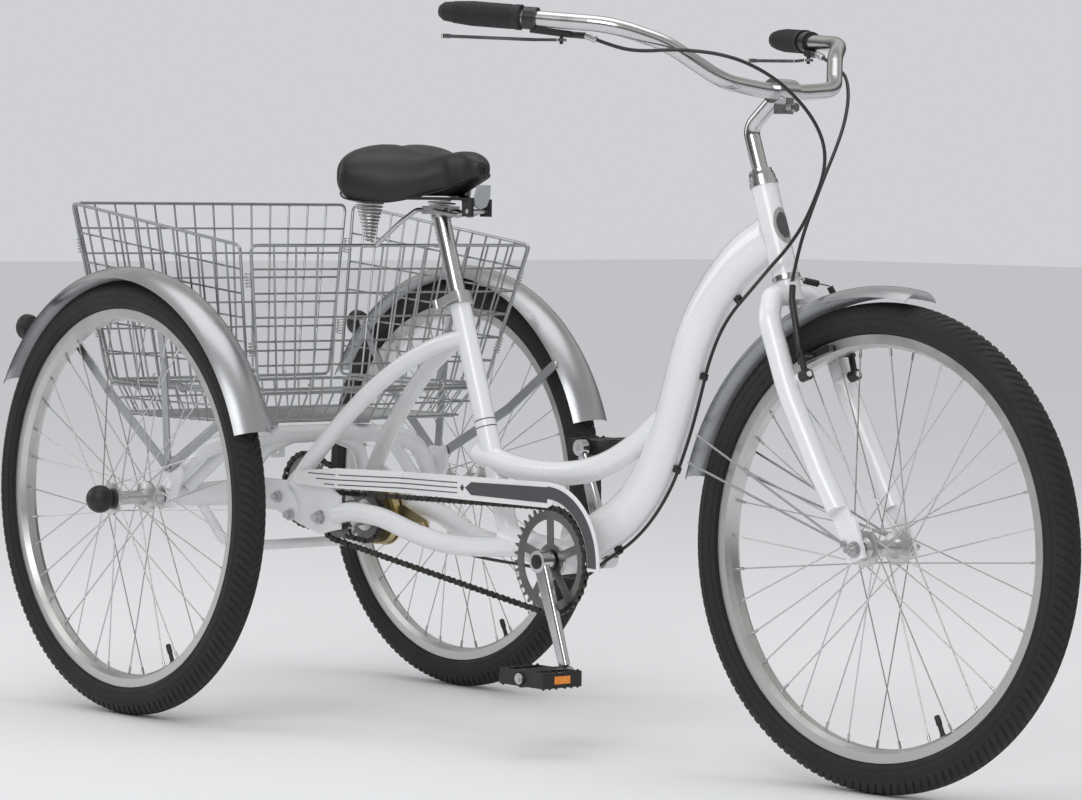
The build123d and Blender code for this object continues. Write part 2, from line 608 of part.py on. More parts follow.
with BuildPart() as stem:
    rod([at_fork(60, 0), at_fork(-86, 0), (1066, 0, 938)], 11.1, 20)
    tube(HEAD_TOP, HEAD_UP, 18.5, 7.2, 15, 12.7)
    hexagon(HEAD_TOP, HEAD_UP, 37, 15, 20, 12.7)
    tube(HEAD_TOP, HEAD_UP, 16, 20, 24, 11.1)
    tube(BAR_CENTRE, (0, 1, 0), 17, -21, 21)
    with Locations(Plane(BAR_CENTRE + Vector(4, 0, -20), x_dir=(1, 0, 0), z_dir=(0, 0, 1))):
        Box(22, 16, 22)
    tube(BAR_CENTRE + Vector(4, 0, -22), (1, 0, 0), 4, -18, 18)
    hexagon(BAR_CENTRE + Vector(4, 0, -22), (1, 0, 0), 13, 18, 24)
    tube(BAR_CENTRE, (0, 1, 0), 11.15, -40, 40, mode=Mode.SUBTRACT)
save(stem, "stem", True)

HALF_BAR = [(1072, 40, 943), (1068, 112, 950), (1014, 172, 1000), (970, 232, 1022), (752, 337, 1038)]
BAR_BENDS = [150, 60, 150, 120]
BAR_END = Vector(752, 337, 1038)
BAR_INWARD = Vector(218, -105, -16).normalized()
with BuildPart() as handlebar:
    rod(
        [(x, -y, z) for x, y, z in HALF_BAR[::-1]] + HALF_BAR,
        BAR_RADIUS,
        BAR_BENDS[::-1] + BAR_BENDS,
    )
save(handlebar, "handlebar", True)


def on_grip(distance, sign):
    """A point on the bar's grip stretch and the way inwards along it, for one side."""
    inward = Vector(BAR_INWARD.X, sign * BAR_INWARD.Y, BAR_INWARD.Z)
    return Vector(BAR_END.X, sign * BAR_END.Y, BAR_END.Z) + inward * distance, inward


with BuildPart() as grips:
    for sign in (-1, 1):
        tip, inward = on_grip(0, sign)
        lathe(tip, inward, [
            (0, -9), (8, -7), (13, 0), (14.5, 14), (16.5, 40), (16.5, 98), (17.5, 106), (17.5, 112),
            (BAR_RADIUS, 112), (BAR_RADIUS, 0), (0, 0),
        ])
save(grips, "grips", True)

LEVER_PIVOT = Vector(893, 251, 1010)
BARREL_REACH = 36.0
with BuildPart() as lever_brackets:
    for sign in (-1, 1):
        base, inward = on_grip(122, sign)
        tube(base, inward, 15.5, -5, 13)
        pivot = Vector(LEVER_PIVOT.X, sign * LEVER_PIVOT.Y, LEVER_PIVOT.Z)
        flat_bar(base + inward * 3 + Vector(0, 0, -15), pivot + inward * 14, 14, 9, (0, 0, 1))
        tube(pivot, inward, 4.5, 12, BARREL_REACH)
        tube(pivot, (0, 0, 1), 2.5, -14, 4)
        tube(base, inward, BAR_RADIUS, -40, 60, mode=Mode.SUBTRACT)
save(lever_brackets, "lever_brackets", True)

for side, sign in (("left", 1), ("right", -1)):
    with BuildPart() as brake_lever:
        pivot = Vector(LEVER_PIVOT.X, sign * LEVER_PIVOT.Y, LEVER_PIVOT.Z)
        tube(pivot, (0, 0, 1), 7, -10.5, -6.5)
        elbow = pivot + Vector(-38, sign * 17, -8.5)
        tip = pivot + Vector(-165, sign * 60, -4)
        flat_bar(pivot + Vector(-3, sign * 1, -8.5), elbow, 9, 4, (0, 0, 1))
        flat_bar(elbow, tip, 11, 4.5, (0, 0, 1))
        tube(elbow, (0, 0, 1), 5, -2.2, 2.2)
        tube(tip, (0, 0, 1), 6.5, -3, 3)
        tube(pivot, (0, 0, 1), 2.5 + RUNNING, -30, 20, mode=Mode.SUBTRACT)
    save(brake_lever, f"brake_lever_{side}", True)

# ---------------------------------------------------------------- front brake
for side, sign in (("left", 1), ("right", -1)):
    with BuildPart() as brake_arm:
        boss = at_fork(BRAKE_BOSS[0], BRAKE_BOSS[1], sign * BRAKE_BOSS[2])
        tube(boss, HEAD_FORWARD, 8, 7, 20, 4 + RUNNING)
        shank = [
            boss + HEAD_FORWARD * 14, at_fork(244, 38, sign * 52), at_fork(178, 40, sign * 46),
            at_fork(158, 40, sign * 38)
        ]
        rod(shank, 4.5, [14, 14])
        tube(boss, HEAD_FORWARD, 4 + RUNNING, -5, 40, mode=Mode.SUBTRACT)
        pad_seat = at_fork(PAD_ALONG, 37, sign * 52)
        tube(pad_seat, (0, -sign, 0), 3.2, -6, 27)
        with Locations(Plane(pad_seat + Vector(0, -sign * 30, 0), x_dir=HEAD_FORWARD, z_dir=HEAD_UP)):
            Box(60, 8, 10)
    save(brake_arm, f"v_brake_arm_{side}", True)

# ---------------------------------------------------------------- fenders
def fender_blade(centre, first, last, crown, half_width, drop):
    """A curved mudguard round a wheel, between two angles measured up from straight ahead."""
    facing = Vector(cos(radians(first)), 0, sin(radians(first)))
    with BuildSketch(Plane(centre, x_dir=facing, z_dir=facing.cross(Vector(0, 1, 0)))) as section:
        with BuildLine():
            outer = ThreePointArc((crown - drop, -half_width), (crown, 0), (crown - drop, half_width))
            inner = ThreePointArc(
                (crown - drop, half_width - 1.8), (crown - 1.6, 0), (crown - drop, 1.8 - half_width)
            )
            Line(outer @ 1, inner @ 0)
            Line(inner @ 1, outer @ 0)
        make_face()
    revolve(section.sketch, axis=Axis(centre, (0, -1, 0)), revolution_arc=last - first)


with BuildPart() as rear_fenders:
    for sign in (-1, 1):
        middle = Vector(0, sign * HALF_TRACK, TYRE_RADIUS)
        fender_blade(middle, 19.5, 151, 351, 35, 17)
        for angle in (131, 87, 37):
            outward = Vector(cos(radians(angle)), 0, sin(radians(angle)))
            root = Vector(14, sign * 264.6, 374)
            knee = REAR_AXLE + outward * 210 + Vector(6, sign * 276, 0)
            tip = REAR_AXLE + outward * 338 + Vector(0, sign * 294, 0)
            flat_bar(root, knee, 15, 3)
            flat_bar(knee, tip, 15, 3)
            tube(knee, (0, sign, 0), 7.5, -2, 2)
            tube(root + outward * 6, (0, sign, 0), 5, -1.5, 5)
save(rear_fenders, "rear_fenders")

with BuildPart() as front_fender:
    arc_centre = FRONT_AXLE + Vector(-6, 0, -2)
    fender_blade(arc_centre, 80, 167, 354, 33, 16)
    for sign in (-1, 1):
        eyelet = FRONT_AXLE + Vector(-18, sign * 57.6, 6)
        for angle in (163, 156):
            tip = arc_centre + Vector(340 * cos(radians(angle)), sign * 32.5, 340 * sin(radians(angle)))
            rod([eyelet, tip], 1.7)
        tube(eyelet, (0, sign, 0), 4.5, -1.4, 3)
    tube(HEAD_TOP, HEAD_DOWN, 6, 172.6, 186)
save(front_fender, "front_fender", True)

# ---------------------------------------------------------------- basket
def lattice(corners, columns, rows, bar=3.0, border=5.0, thickness=3.0):
    """A flat welded grid from its four corners, given round the edge from one bottom corner."""
    low_a, low_b, high_b, high_a = [Vector(*corner) for corner in corners]
    right = (low_b - low_a).normalized()
    outward = right.cross(high_a - low_a).normalized()
    face = Plane(low_a - outward * (thickness / 2), x_dir=right, z_dir=outward)
    flat = [face.to_local_coords(corner) for corner in (low_a, low_b, high_b, high_a)]
    flat = [(spot.X, spot.Y) for spot in flat]

    def between(start, end, share):
        return (start[0] + (end[0] - start[0]) * share, start[1] + (end[1] - start[1]) * share)

    with BuildSketch(face) as grid:
        with BuildLine():
            Polyline(*flat, close=True)
        make_face()
        fillet(grid.vertices(), 12)
        offset(amount=-border, mode=Mode.SUBTRACT)
        half = bar / 2
        for column in range(1, columns):
            low = between(flat[0], flat[1], column / columns)
            high = between(flat[3], flat[2], column / columns)
            with BuildLine():
                Polyline(
                    (low[0] - half, low[1] + 1), (low[0] + half, low[1] + 1),
                    (high[0] + half, high[1] - 1), (high[0] - half, high[1] - 1), close=True,
                )
            make_face()
        for row in range(1, rows):
            left = between(flat[0], flat[3], row / rows)
            end = between(flat[1], flat[2], row / rows)
            with BuildLine():
                Polyline(
                    (left[0] + 1, left[1] - half), (left[0] + 1, left[1] + half),
                    (end[0] - 1, end[1] + half), (end[0] - 1, end[1] - half), close=True,
                )
            make_face()
    extrude(grid.sketch, amount=thickness)


with BuildPart() as basket_panels:
    lattice([(-208, -214, 499), (-208, 214, 499), (-236, 268, 775), (-236, -268, 775)], 11, 7)
    lattice([(184, -222, 499), (184, 222, 499), (228, 270, 717), (228, -270, 717)], 10, 6)
    for sign in (-1, 1):
        lattice(
            [
                (-196, sign * 230, 499), (172, sign * 232, 499), (217, sign * 282, 717),
                (-228, sign * 278, 775)
            ],
            15, 6
        )
save(basket_panels, "basket_panels")

FLOOR_Z = 449.0
RIM_Z = 493.0
with BuildPart() as basket_base:
    lattice([(-186, -206, FLOOR_Z), (146, -206, FLOOR_Z), (146, 206, FLOOR_Z), (-186, 206, FLOOR_Z)], 13, 9)
    loop([(-204, -222, RIM_Z), (180, -226, RIM_Z), (180, 226, RIM_Z), (-204, 222, RIM_Z)], 2.6, 20)
    for sign in (-1, 1):
        for number in range(5):
            x = -150 + number * 65
            rod([(x, sign * 204, FLOOR_Z), (x, sign * 223.5, RIM_Z)], 1.7)
        for y in (-160, -80, 80, 160):
            rod([(-9 + sign * 153, y, FLOOR_Z), (-12 + sign * 192, y, RIM_Z)], 1.7)
    for y in (-90, 90):
        with Locations((30, y, 441)):
            Box(30, 24, 14)
    tube(Vector(32, 0, 420), (0, 1, 0), 14, -150, 150, mode=Mode.SUBTRACT)
save(basket_base, "basket_base")

# ---------------------------------------------------------------- seat
RAIL = [(424, 8.5, 770.5), (396, 12, 764), (352, 21, 771), (312, 23, 772), (290, 38, 752), (264, 64, 716)]
with BuildPart() as seat_post:
    tube(SEAT_TOP, SEAT_UP, POST_RADIUS, -180, 133)
    tube(SEAT_TOP, SEAT_UP, 15.5, 122, 136)
    with Locations(at_seat(-133, 2)):
        Box(26, 52, 12)
    for sign in (-1, 1):
        rod([(x, sign * y, z) for x, y, z in RAIL], 3.5, 12, Mode.SUBTRACT)
save(seat_post, "seat_post")

COLLAR_EAR = -25.0
with BuildPart() as seat_collar:
    tube(SEAT_TOP, SEAT_UP, 20, -16, 0, 15.9)
    tube(SEAT_TOP, SEAT_UP, 18, 0, 2, POST_RADIUS + 0.3)
    for sign in (-1, 1):
        with Locations(Plane(at_seat(8, COLLAR_EAR + 3, sign * 5.5), x_dir=SEAT_FORWARD, z_dir=SEAT_UP)):
            Box(15, 5, 14)
    tube(at_seat(8, COLLAR_EAR), (0, 1, 0), 3, -18, 14)
    tube(SEAT_TOP, SEAT_UP, 15.9, -20, 0, mode=Mode.SUBTRACT)
    hexagon(at_seat(8, COLLAR_EAR), (0, 1, 0), 12, 8, 13)
save(seat_collar, "seat_collar")

LEVER_AXIS_SPOT = at_seat(8, COLLAR_EAR, -24)
with BuildPart() as collar_lever:
    tube(LEVER_AXIS_SPOT, SEAT_UP, 5.8, -7, 7)
    flat_bar(
        LEVER_AXIS_SPOT + SEAT_FORWARD * 5, LEVER_AXIS_SPOT + SEAT_FORWARD * 52 + Vector(0, -2, 0), 13, 4
    )
save(collar_lever, "collar_lever")

SADDLE_SECTIONS = [
    (182, 46, 18, 832), (212, 118, 34, 832), (258, 129, 38, 829), (312, 100, 36, 826),
    (368, 52, 32, 826), (420, 31, 27, 830), (450, 18, 14, 832),
]
SADDLE_UNDER = 791.0
NOSE_PIVOT = Vector(428, 0, 771)
with BuildPart() as saddle_cover:
    sections = []
    for x, half_width, half_height, z in SADDLE_SECTIONS:
        with BuildSketch(Plane((x, 0, z), x_dir=(0, 1, 0), z_dir=(1, 0, 0))) as section:
            Ellipse(half_width, half_height)
        sections.append(section.sketch)
    loft(sections)
    with Locations((320, 0, SADDLE_UNDER - 25)):
        Box(400, 300, 50, mode=Mode.SUBTRACT)
save(saddle_cover, "saddle_cover")

with BuildPart() as saddle_base:
    with BuildSketch(Plane.XY.offset(SADDLE_UNDER - 4)) as base_face:
        with BuildLine():
            Polyline(
                (222, -78), (222, 78), (300, 84), (372, 34), (436, 20), (436, -20), (372, -34), (300, -84),
                close=True
            )
        make_face()
        fillet(base_face.vertices(), 12)
    extrude(base_face.sketch, amount=4)
    for sign in (-1, 1):
        with Locations((426, sign * 17.5, 776)):
            Box(22, 5, 26)
    tube(NOSE_PIVOT, (0, 1, 0), 3.5 + RUNNING, -30, 30, mode=Mode.SUBTRACT)
save(saddle_base, "saddle_base")

SPRING_X = 258.0
SPRING_Y = 70.0
SPRING_LOW = 718.0
SPRING_SEAT_GAP = 3.0
SPRING_LENGTH = SADDLE_UNDER - 4.2 - SPRING_LOW
with BuildPart() as saddle_rails:
    for sign in (-1, 1):
        rod([(x, sign * y, z) for x, y, z in RAIL], 3.5, 12)
        tube(Vector(SPRING_X, sign * SPRING_Y, SPRING_LOW), (0, 0, 1), 11, -4, 0)
    tube(NOSE_PIVOT, (0, 1, 0), 3.5, -21, 21)
save(saddle_rails, "saddle_rails")

with BuildPart() as saddle_springs:
    for sign in (-1, 1):
        lathe(
            Vector(SPRING_X, sign * SPRING_Y, SPRING_LOW), (0, 0, 1),
            [
                (0, SPRING_SEAT_GAP), (7, SPRING_SEAT_GAP), (19, SPRING_LENGTH - 3), (19, SPRING_LENGTH),
                (0, SPRING_LENGTH)
            ],
        )
save(saddle_springs, "saddle_springs")

# ---------------------------------------------------------------- brake cables
CABLE_RADIUS = 2.5
FRONT_ROUTE = [
    (957, 222, 998), (990, 204, 986), (1028, 182, 974), (1056, 157, 942), (1078, 124, 903), (1098, 85, 867),
    (1112, 50, 832),
    (1119, 22, 793), (1121, 0, 752), (1128, -20, 718),
]
REAR_ROUTE = [
    (972, -227, 1002), (1008, -207, 992), (1058, -172, 996), (1110, -128, 988), (1148, -90, 963),
    (1168, -56, 930), (1177, -30, 897),
    (1178, -14, 864), (1170, -8, 830), (1154, -12, 790), (1141, -20, 758), (1120, -28, 728), (1092, -30, 704),
    (1058, -17, 686),
]


def barrel_mouth(sign):
    """Where the cable's housing leaves the lever's barrel, with the steering straight."""
    pivot = Vector(LEVER_PIVOT.X, sign * LEVER_PIVOT.Y, LEVER_PIVOT.Z)
    return pivot + on_grip(0, sign)[1] * (BARREL_REACH + 1)


def below_down_tube(first, last, gap):
    """Points beside the down tube's corners, on its front and under side."""
    points = []
    for before, corner, after in zip(DOWN_TUBE[first - 1:], DOWN_TUBE[first:last + 1], DOWN_TUBE[first + 1:]):
        way_in = (Vector(*corner) - Vector(*before)).normalized()
        way_out = (Vector(*after) - Vector(*corner)).normalized()
        way = (way_in + way_out).normalized()
        points.append(Vector(*corner) + Vector(-way.Z, 0, way.X) * gap)
    return points


with BuildPart() as front_brake_cable:
    route = [barrel_mouth(1), *FRONT_ROUTE, at_fork(152, 41, -38)]
    rod(route, CABLE_RADIUS, easy_bends(route))
save(front_brake_cable, "front_brake_cable", True)

with BuildPart() as rear_brake_cable:
    mouth = HEAD_TOP + (barrel_mouth(-1) - HEAD_TOP).rotate(HEAD_AXIS, REST_STEER)
    route = [mouth, *REAR_ROUTE, *below_down_tube(1, 8, 40)]
    route += [
        (682, 0, 244), (640, 2, 242), (590, 8, 246), (530, 17, 250), (470, 26, 250), (415, 32, 251),
        (365, 33, 255),
        (330, 33, 265), (304, 33, 273),
    ]
    rod(route, CABLE_RADIUS, easy_bends(route))
save(rear_brake_cable, "rear_brake_cable")
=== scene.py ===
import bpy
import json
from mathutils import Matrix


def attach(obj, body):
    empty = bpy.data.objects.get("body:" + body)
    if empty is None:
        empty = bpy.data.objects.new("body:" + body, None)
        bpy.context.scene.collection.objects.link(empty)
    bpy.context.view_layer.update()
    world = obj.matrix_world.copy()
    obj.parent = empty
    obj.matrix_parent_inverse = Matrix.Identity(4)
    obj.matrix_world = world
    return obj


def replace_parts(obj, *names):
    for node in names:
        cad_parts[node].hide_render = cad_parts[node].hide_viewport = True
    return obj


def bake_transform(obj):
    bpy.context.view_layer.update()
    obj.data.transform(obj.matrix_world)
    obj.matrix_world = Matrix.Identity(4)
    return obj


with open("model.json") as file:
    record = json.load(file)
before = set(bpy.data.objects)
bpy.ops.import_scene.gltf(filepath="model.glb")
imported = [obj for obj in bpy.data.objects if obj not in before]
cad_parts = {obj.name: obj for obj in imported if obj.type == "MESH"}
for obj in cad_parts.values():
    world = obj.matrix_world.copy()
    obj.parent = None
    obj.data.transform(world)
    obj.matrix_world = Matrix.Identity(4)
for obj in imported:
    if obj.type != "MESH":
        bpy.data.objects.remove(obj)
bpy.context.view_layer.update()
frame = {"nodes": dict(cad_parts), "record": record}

import json
import math
from math import cos, pi, radians, sin, tau

import bmesh
import bpy
from mathutils import Matrix, Vector

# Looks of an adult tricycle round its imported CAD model.
# The row frame: origin on the ground under the rear axle, +X forward, +Y to the rider's left, +Z up.
# Sizes below are millimetres, turned into metres where a mesh is made.
MM = 0.001
TYRE_RADIUS = 330.0
WHEELBASE = 1279.5
HALF_TRACK = 327.0
REST_STEER = radians(4.27)
HEAD_TOP = Vector((1045, 0, 812))
HEAD_DOWN = Vector((45, 0, -122)).normalized()
HEAD_FORWARD = Vector((122, 0, 45)).normalized()
SEAT_TOP = Vector((384, 0, 646))
SEAT_DOWN = Vector((137, 0, -384)).normalized()
CRANK_CENTRE = Vector((656, 0, 269))
CRANK_LENGTH = 172.0
CRANK_ANGLE = 24.8
JACKSHAFT = Vector((152, 0, 300))
REAR_AXLE = Vector((0, 0, TYRE_RADIUS))
FRONT_AXLE = Vector((WHEELBASE, 0, TYRE_RADIUS))
BAR_CENTRE = Vector((1072, 0, 943))
BAR_END = Vector((752, 337, 1038))
BAR_INWARD = Vector((218, -105, -16)).normalized()
LEVER_PIVOT = Vector((893, 251, 1010))
NOODLE_TOP = (152, 41, -38)
PEDAL_Y = 124.0
SIDES = (("left", 1), ("right", -1))
ALONG_X = Vector((1, 0, 0))
ALONG_Y = Vector((0, 1, 0))
ALONG_Z = Vector((0, 0, 1))
STEER = Matrix.Rotation(REST_STEER, 3, -HEAD_DOWN)


def steered(point):
    """Where a point of the straight-ahead steering lies at the resting angle."""
    return HEAD_TOP + STEER @ (Vector(point) - HEAD_TOP)


def at_fork(along, forward, side=0.0):
    """A point from the head tube's top: down the steering axis, ahead of it and to the left, at rest."""
    return steered(HEAD_TOP + HEAD_DOWN * along + HEAD_FORWARD * forward + ALONG_Y * side)


def on_side(point, sign):
    """A point or direction given for the left side, on the side of that sign."""
    return Vector((point[0], sign * point[1], point[2]))


# ---------------------------------------------------------------- materials
def new_material(name, color, roughness, metallic=0.0, coat=0.0):
    """A plain principled material and its shader."""
    mat = bpy.data.materials.new(name)
    mat.use_nodes = True
    shader = mat.node_tree.nodes["Principled BSDF"]
    shader.inputs["Base Color"].default_value = (*color, 1)
    shader.inputs["Roughness"].default_value = roughness
    shader.inputs["Metallic"].default_value = metallic
    shader.inputs["Coat Weight"].default_value = coat
    shader.inputs["Coat Roughness"].default_value = 0.06
    return mat, shader


def add_node(mat, kind, **inputs):
    """A node with values for its inputs, named with _ for a space."""
    node = mat.node_tree.nodes.new(kind)
    for name, value in inputs.items():
        node.inputs[name.replace("_", " ")].default_value = value
    return node


def object_noise(mat, scale, detail=3.0):
    """Noise fixed to the object, in metres."""
    place = mat.node_tree.nodes.new("ShaderNodeTexCoord")
    noise = add_node(mat, "ShaderNodeTexNoise", Scale=scale, Detail=detail)
    mat.node_tree.links.new(place.outputs["Object"], noise.inputs["Vector"])
    return noise


def vary(mat, shader, socket, source, low, high):
    """Drives a shader's number from a pattern, between two values."""
    spread = add_node(mat, "ShaderNodeMapRange", To_Min=low, To_Max=high)
    spread.inputs["From Min"].default_value = 0.3
    spread.inputs["From Max"].default_value = 0.7
    mat.node_tree.links.new(source, spread.inputs["Value"])
    mat.node_tree.links.new(spread.outputs["Result"], shader.inputs[socket])


def tint(mat, shader, source, dark, light):
    """Drives a shader's colour from a pattern, between two colours."""
    mix = mat.node_tree.nodes.new("ShaderNodeMix")
    mix.data_type = "RGBA"
    mix.inputs[6].default_value = (*dark, 1)
    mix.inputs[7].default_value = (*light, 1)
    mat.node_tree.links.new(source, mix.inputs[0])
    mat.node_tree.links.new(mix.outputs[2], shader.inputs["Base Color"])


def relief(mat, shader, source, distance, strength=1.0):
    """Small surface relief from a pattern; distance is in metres."""
    bump = add_node(mat, "ShaderNodeBump", Strength=strength, Distance=distance)
    mat.node_tree.links.new(source, bump.inputs["Height"])
    mat.node_tree.links.new(bump.outputs["Normal"], shader.inputs["Normal"])


def paint(name, dark, light, roughness, metallic, coat):
    """Sprayed paint: a slow change of tone and a faint orange peel."""
    mat, shader = new_material(name, light, roughness, metallic, coat)
    slow = object_noise(mat, 9.0)
    tint(mat, shader, slow.outputs["Fac"], dark, light)
    vary(mat, shader, "Roughness", slow.outputs["Fac"], roughness - 0.05, roughness + 0.05)
    relief(mat, shader, object_noise(mat, 420.0, 1.0).outputs["Fac"], 0.00006)
    return mat


def metal(name, dark, light, smooth, rough, grain=900.0):
    """Bare or plated metal whose polish is uneven."""
    mat, shader = new_material(name, light, smooth, 1.0)
    slow = object_noise(mat, 35.0, 6.0)
    tint(mat, shader, slow.outputs["Fac"], dark, light)
    vary(mat, shader, "Roughness", slow.outputs["Fac"], smooth, rough)
    relief(mat, shader, object_noise(mat, grain, 2.0).outputs["Fac"], 0.00003)
    return mat


def plastic(name, dark, light, smooth, rough, grain=700.0, depth=0.00008):
    """Moulded plastic or rubber with a fine grain."""
    mat, shader = new_material(name, light, smooth)
    slow = object_noise(mat, 22.0, 5.0)
    tint(mat, shader, slow.outputs["Fac"], dark, light)
    vary(mat, shader, "Roughness", slow.outputs["Fac"], smooth, rough)
    relief(mat, shader, object_noise(mat, grain, 2.0).outputs["Fac"], depth)
    return mat


def vinyl():
    """Pebbled black vinyl."""
    mat, shader = new_material("saddle_vinyl", (0.014, 0.014, 0.015), 0.42)
    place = mat.node_tree.nodes.new("ShaderNodeTexCoord")
    pebbles = add_node(mat, "ShaderNodeTexVoronoi", Scale=560.0)
    mat.node_tree.links.new(place.outputs["Object"], pebbles.inputs["Vector"])
    tint(
        mat, shader, object_noise(mat, 30.0, 5.0).outputs["Fac"], (0.009, 0.009, 0.01),
        (0.017, 0.0165, 0.0175)
    )
    vary(mat, shader, "Roughness", object_noise(mat, 14.0).outputs["Fac"], 0.36, 0.5)
    relief(mat, shader, pebbles.outputs["Distance"], 0.00022)
    return mat


def lens(name, color):
    """Moulded reflector plastic with a prism pattern."""
    mat, shader = new_material(name, color, 0.12, coat=0.6)
    place = mat.node_tree.nodes.new("ShaderNodeTexCoord")
    prisms = add_node(mat, "ShaderNodeTexVoronoi", Scale=330.0)
    mat.node_tree.links.new(place.outputs["Object"], prisms.inputs["Vector"])
    relief(mat, shader, prisms.outputs["Distance"], 0.0006)
    tint(mat, shader, prisms.outputs["Distance"], color, tuple(min(1.0, c * 1.7) for c in color))
    return mat


LOOKS = {
    "silver_paint": paint("silver_paint", (0.77, 0.775, 0.78), (0.86, 0.865, 0.87), 0.24, 0.0, 0.7),
    "guard_paint": paint("guard_paint", (0.79, 0.79, 0.79), (0.86, 0.86, 0.86), 0.25, 0.0, 0.6),
    "grey_paint": paint("grey_paint", (0.36, 0.37, 0.385), (0.45, 0.46, 0.475), 0.3, 0.75, 0.5),
    "basket_wire": metal("basket_wire", (0.34, 0.35, 0.36), (0.46, 0.47, 0.48), 0.3, 0.45),
    "polished_metal": metal("polished_metal", (0.55, 0.55, 0.56), (0.68, 0.68, 0.69), 0.12, 0.22),
    "zinc_steel": metal("zinc_steel", (0.5, 0.5, 0.51), (0.66, 0.66, 0.67), 0.24, 0.42),
    "alloy": metal("alloy", (0.56, 0.56, 0.555), (0.68, 0.68, 0.675), 0.28, 0.4),
    "cog_steel": metal("cog_steel", (0.16, 0.155, 0.15), (0.3, 0.295, 0.29), 0.3, 0.5),
    "chain_steel": metal("chain_steel", (0.045, 0.04, 0.036), (0.13, 0.12, 0.11), 0.3, 0.5),
    "brass_zinc": metal("brass_zinc", (0.5, 0.4, 0.2), (0.68, 0.58, 0.34), 0.28, 0.45),
    "tyre_rubber": plastic(
        "tyre_rubber", (0.008, 0.008, 0.0085), (0.015, 0.015, 0.0155), 0.6, 0.78, 500.0, 0.00015
    ),
    "grip_rubber": plastic("grip_rubber", (0.009, 0.009, 0.0095), (0.016, 0.016, 0.0165), 0.5, 0.65),
    "black_plastic": plastic("black_plastic", (0.01, 0.01, 0.0105), (0.018, 0.018, 0.019), 0.36, 0.5),
    "brake_black": plastic("brake_black", (0.015, 0.015, 0.016), (0.028, 0.028, 0.03), 0.26, 0.4),
    "cable_housing": plastic("cable_housing", (0.012, 0.012, 0.013), (0.022, 0.022, 0.023), 0.28, 0.4),
    "saddle_vinyl": vinyl(),
}
TRIM_LIGHT = plastic("trim_light", (0.3, 0.31, 0.32), (0.38, 0.39, 0.4), 0.35, 0.5)
TRIM_GREY = plastic("trim_grey", (0.06, 0.062, 0.066), (0.085, 0.087, 0.092), 0.3, 0.4)
AMBER = lens("amber_lens", (0.75, 0.2, 0.01))
RED = lens("red_lens", (0.42, 0.008, 0.01))

for row in frame["record"]["subparts"]:
    mesh = frame["nodes"][row["node"]].data
    mesh.materials.clear()
    mesh.materials.append(LOOKS[row["material_slot"]])


# ---------------------------------------------------------------- building meshes
def square_to(axis):
    """The unit axis and two directions square to it and to each other."""
    axis = Vector(axis).normalized()
    across = axis.orthogonal().normalized()
    return axis, across, axis.cross(across)


def around(across, up, angle):
    """The direction at an angle from across towards up."""
    return across * cos(angle) + up * sin(angle)


